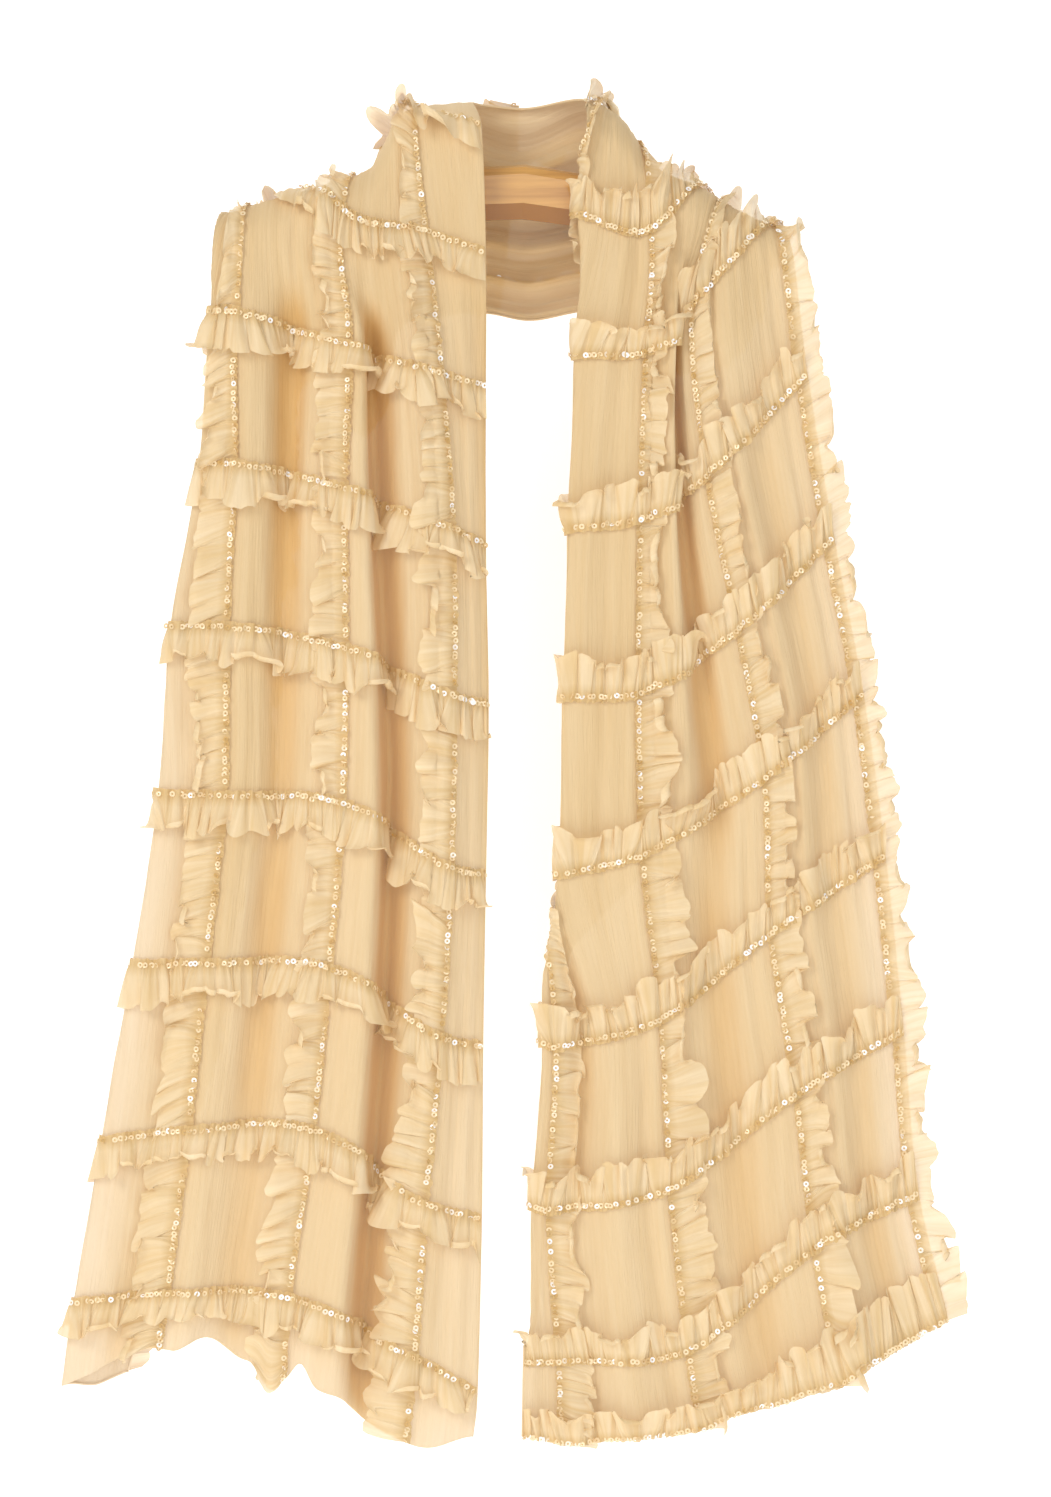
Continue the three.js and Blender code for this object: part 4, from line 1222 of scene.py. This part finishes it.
class RuffleSettings(bpy.types.PropertyGroup):
    """Sizes and colours of the ruffles."""

    width: a_length("Width", "From the stitching to the free edge", 0.027, 0.01, 0.05)
    heading: a_length("Heading", "Raw edge on the other side of the stitching", 0.004, 0.001, 0.01)
    fullness: a_number("Fullness", "Length of the cut strip for each length of its seam", 1.2, 1, 3)
    long_fold: a_length(
        "Lengthwise folds", "Usual width of a fold of the lengthwise ruffles", 0.0145, 0.003, 0.04
    )
    long_depth: a_length(
        "Lengthwise depth",
        "How much cloth stands in a fold at the free edge of a lengthwise ruffle",
        0.0092,
        0.001,
        0.015,
    )
    cross_fold: a_length("Cross folds", "Usual width of a fold of the cross ruffles", 0.0125, 0.003, 0.04)
    cross_depth: a_length(
        "Cross depth", "How much cloth stands in a fold at the free edge of a cross ruffle", 0.0068, 0.001, 0.015
    )
    root_fold: a_length("Puckers", "Usual width of the small puckers at the stitching", 0.0042, 0.001, 0.01)
    droop: a_length("Droop", "How far the free edge of a lengthwise ruffle sinks", 0.005, 0, 0.02)
    pale: a_colour("Pale colour", "Colour of the ruffles on the crests of their crinkle", (0.90, 0.735, 0.485))
    deep: a_colour("Deep colour", "Colour of the ruffles between the crests", (0.79, 0.585, 0.31))
    # Painted shade: this tint darkens a ruffle at its heading and stitching, fading out by a third of its width.
    root: a_colour(
        "Root tint", "Tint of the cloth at the stitching, where it is gathered tight", (0.86, 0.78, 0.62)
    )
    crinkle: a_number("Crinkle", STREAK_DEPTH, 0.35, 0, 2)
    # Painted glow of the ruffles.
    glow: a_number("Glow", PAINTED_GLOW, 0.08, 0, 1)
    opacity: a_share("Opacity", OPACITY, 0.8)


class SequinSettings(bpy.types.PropertyGroup):
    """Sizes and colours of the ring sequins."""

    diameter: a_length("Diameter", "Across one sequin", 0.0042, 0.001, 0.01)
    hole: a_length("Hole", "Across the hole of a sequin", 0.0015, 0.0003, 0.003)
    spacing: a_length("Spacing", "From one sequin to the next", 0.0044, 0.002, 0.03)
    tilt: a_number("Tilt", "How unevenly the sequins lie, in degrees", 24, 0, 80)
    opacity: a_share("Opacity", "How much a sequin hides of what lies behind it", 0.88)
    # Painted reflection: emission in the sequin's colour.
    glow: a_number("Glow", "Light that the sequins throw back from all round", 0.14, 0, 1)
    gold: a_colour("Gold", "Colour of the darkest sequins", (0.60, 0.38, 0.13))
    clear: a_colour("Clear", "Colour of the usual sequins", (0.90, 0.725, 0.455))
    # Painted glint: the white that the brightest sequins are coloured.
    bright: a_colour("Bright", "Colour of the sequins that catch the light", (1.0, 1.0, 1.0))


class HangerSettings(bpy.types.PropertyGroup):
    """Colours of the hanger's wood, and of the painted shade under its bar."""

    pale: a_colour("Pale grain", "Colour of the wood between its grain", (0.74, 0.40, 0.105))
    dark: a_colour("Dark grain", "Colour of the grain", (0.54, 0.26, 0.06))
    # Painted shade on the faces of the bar that look down.
    under: a_colour(
        "Underside", "Colour of the slanted face under the bar, where the varnish is thick", (0.34, 0.13, 0.01)
    )


class StudioSettings(bpy.types.PropertyGroup):
    """The camera's distance and the strength of the lights."""

    distance: a_length("Camera distance", "From the camera to the hanger", 3.5, 1, 10)
    framed: a_length("Framed height", "Height that the picture takes in at the hanger", 1.078, 0.3, 3)
    key: a_number("Key light", "Power of the soft light at the upper left", 44, 0, 500, unit="POWER")
    fill: a_number("Fill light", "Power of the soft light near the camera", 20, 0, 500, unit="POWER")
    surround: a_number("Surround", "Strength of the white surroundings", 0.46, 0, 3)


class STOLE_OT_add_cloth(bpy.types.Operator):
    """Add the stole's draped cloth"""

    bl_idname = "stole.add_cloth"
    bl_label = "Add Cloth"

    def execute(self, context):
        add_cloth(context.scene.stole_cloth)
        return {"FINISHED"}


class STOLE_OT_add_sequins(bpy.types.Operator):
    """Add the ring sequins along the seams"""

    bl_idname = "stole.add_sequins"
    bl_label = "Add Sequins"

    def execute(self, context):
        for stretch in STRETCHES:
            add_sequins(stretch, context.scene.stole_sequins)
        return {"FINISHED"}


class STOLE_OT_add_ruffles(bpy.types.Operator):
    """Add the gathered ruffles that cross the stole in a grid"""

    bl_idname = "stole.add_ruffles"
    bl_label = "Add Ruffles"

    def execute(self, context):
        settings = context.scene.stole_ruffles
        ends = (LEFT_HEM, RIGHT_HEM)
        strips = [long_ruffle(across, ends, 100 + across, settings) for across in LONG_LINES]
        add_ruffles("ruffles_lengthwise", strips, "ruffle_long")
        lines = [*range(-9, 10), RIGHT_HEM]
        strips = [cross_ruffle(line, 200 + round(10 * (line + 10)), settings) for line in lines]
        piece = add_ruffles("ruffles_across", strips, "ruffle_cross")
        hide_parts("ruffle_hem_right")
        return {"FINISHED"}


class STOLE_OT_finish_hanger(bpy.types.Operator):
    """Give the hanger's bar its varnished wood"""

    bl_idname = "stole.finish_hanger"
    bl_label = "Finish Hanger"

    def execute(self, context):
        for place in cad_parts["hanger"].material_slots:
            place.material = wood_material()
        return {"FINISHED"}


class STOLE_OT_add_studio(bpy.types.Operator):
    """Add the pale floor and backdrop, the soft lights and the camera"""

    bl_idname = "stole.add_studio"
    bl_label = "Add Studio"

    def execute(self, context):
        settings = context.scene.stole_studio
        scene = context.scene
        world = bpy.data.worlds.new("white surroundings")
        world.use_nodes = True
        background = world.node_tree.nodes["Background"]
        background.inputs["Color"].default_value = (1, 1, 1, 1)
        background.inputs["Strength"].default_value = settings.surround
        scene.world = world
        scene.view_settings.view_transform = "Standard"
        paper = paper_material("studio paper", (0.92, 0.92, 0.92), 0.42)
        floor = -1.1
        behind = 0.34
        wide = 2.2
        add_paper(
            "floor",
            [(-wide, -wide, floor), (wide, -wide, floor), (wide, behind, floor), (-wide, behind, floor)],
            paper,
        )
        add_paper(
            "backdrop",
            [(-wide, behind, floor), (wide, behind, floor), (wide, behind, 1.6), (-wide, behind, 1.6)],
            paper,
        )
        middle = (0, 0, -0.42)
        add_light("key light", (-1.9, -2.6, 1.1), middle, 1.5, settings.key, (1.0, 0.985, 0.96))
        add_light("fill light", (0.8, -3.2, 0.2), middle, 1.8, settings.fill, (1.0, 0.99, 0.98))
        view = bpy.data.cameras.new("camera")
        view.lens = view.sensor_width * settings.distance / settings.framed
        camera = bpy.data.objects.new("camera", view)
        camera.location = (0, -settings.distance, middle[2])
        camera.rotation_euler = (math.radians(90), 0, 0)
        scene.collection.objects.link(camera)
        scene.camera = camera
        return {"FINISHED"}


class STOLE_PT_panel(bpy.types.Panel):
    """Everything that builds the stole"""

    bl_idname = "STOLE_PT_panel"
    bl_label = "Evening Stole"
    bl_space_type = "VIEW_3D"
    bl_region_type = "UI"
    bl_category = "Stole"

    def draw(self, context):
        for operator in OPERATORS:
            self.layout.operator(operator.bl_idname)


OPERATORS = (
    STOLE_OT_add_cloth,
    STOLE_OT_add_sequins,
    STOLE_OT_add_ruffles,
    STOLE_OT_finish_hanger,
    STOLE_OT_add_studio,
)
SETTINGS = {
    "stole_cloth": ClothSettings,
    "stole_ruffles": RuffleSettings,
    "stole_sequins": SequinSettings,
    "stole_hanger": HangerSettings,
    "stole_studio": StudioSettings,
}


def register():
    """Make the settings, operators and panel known to Blender."""
    for name, settings in SETTINGS.items():
        bpy.utils.register_class(settings)
        setattr(bpy.types.Scene, name, bpy.props.PointerProperty(type=settings))
    for operator in OPERATORS:
        bpy.utils.register_class(operator)
    bpy.utils.register_class(STOLE_PT_panel)


def unregister():
    """Take them out again."""
    bpy.utils.unregister_class(STOLE_PT_panel)
    for operator in reversed(OPERATORS):
        bpy.utils.unregister_class(operator)
    for name, settings in reversed(SETTINGS.items()):
        delattr(bpy.types.Scene, name)
        bpy.utils.unregister_class(settings)


def main():
    """Build the whole scene."""
    register()
    bpy.ops.stole.add_cloth()
    bpy.ops.stole.add_sequins()
    bpy.ops.stole.add_ruffles()
    bpy.ops.stole.finish_hanger()
    bpy.ops.stole.add_studio()


if __name__ == "__main__":
    main()
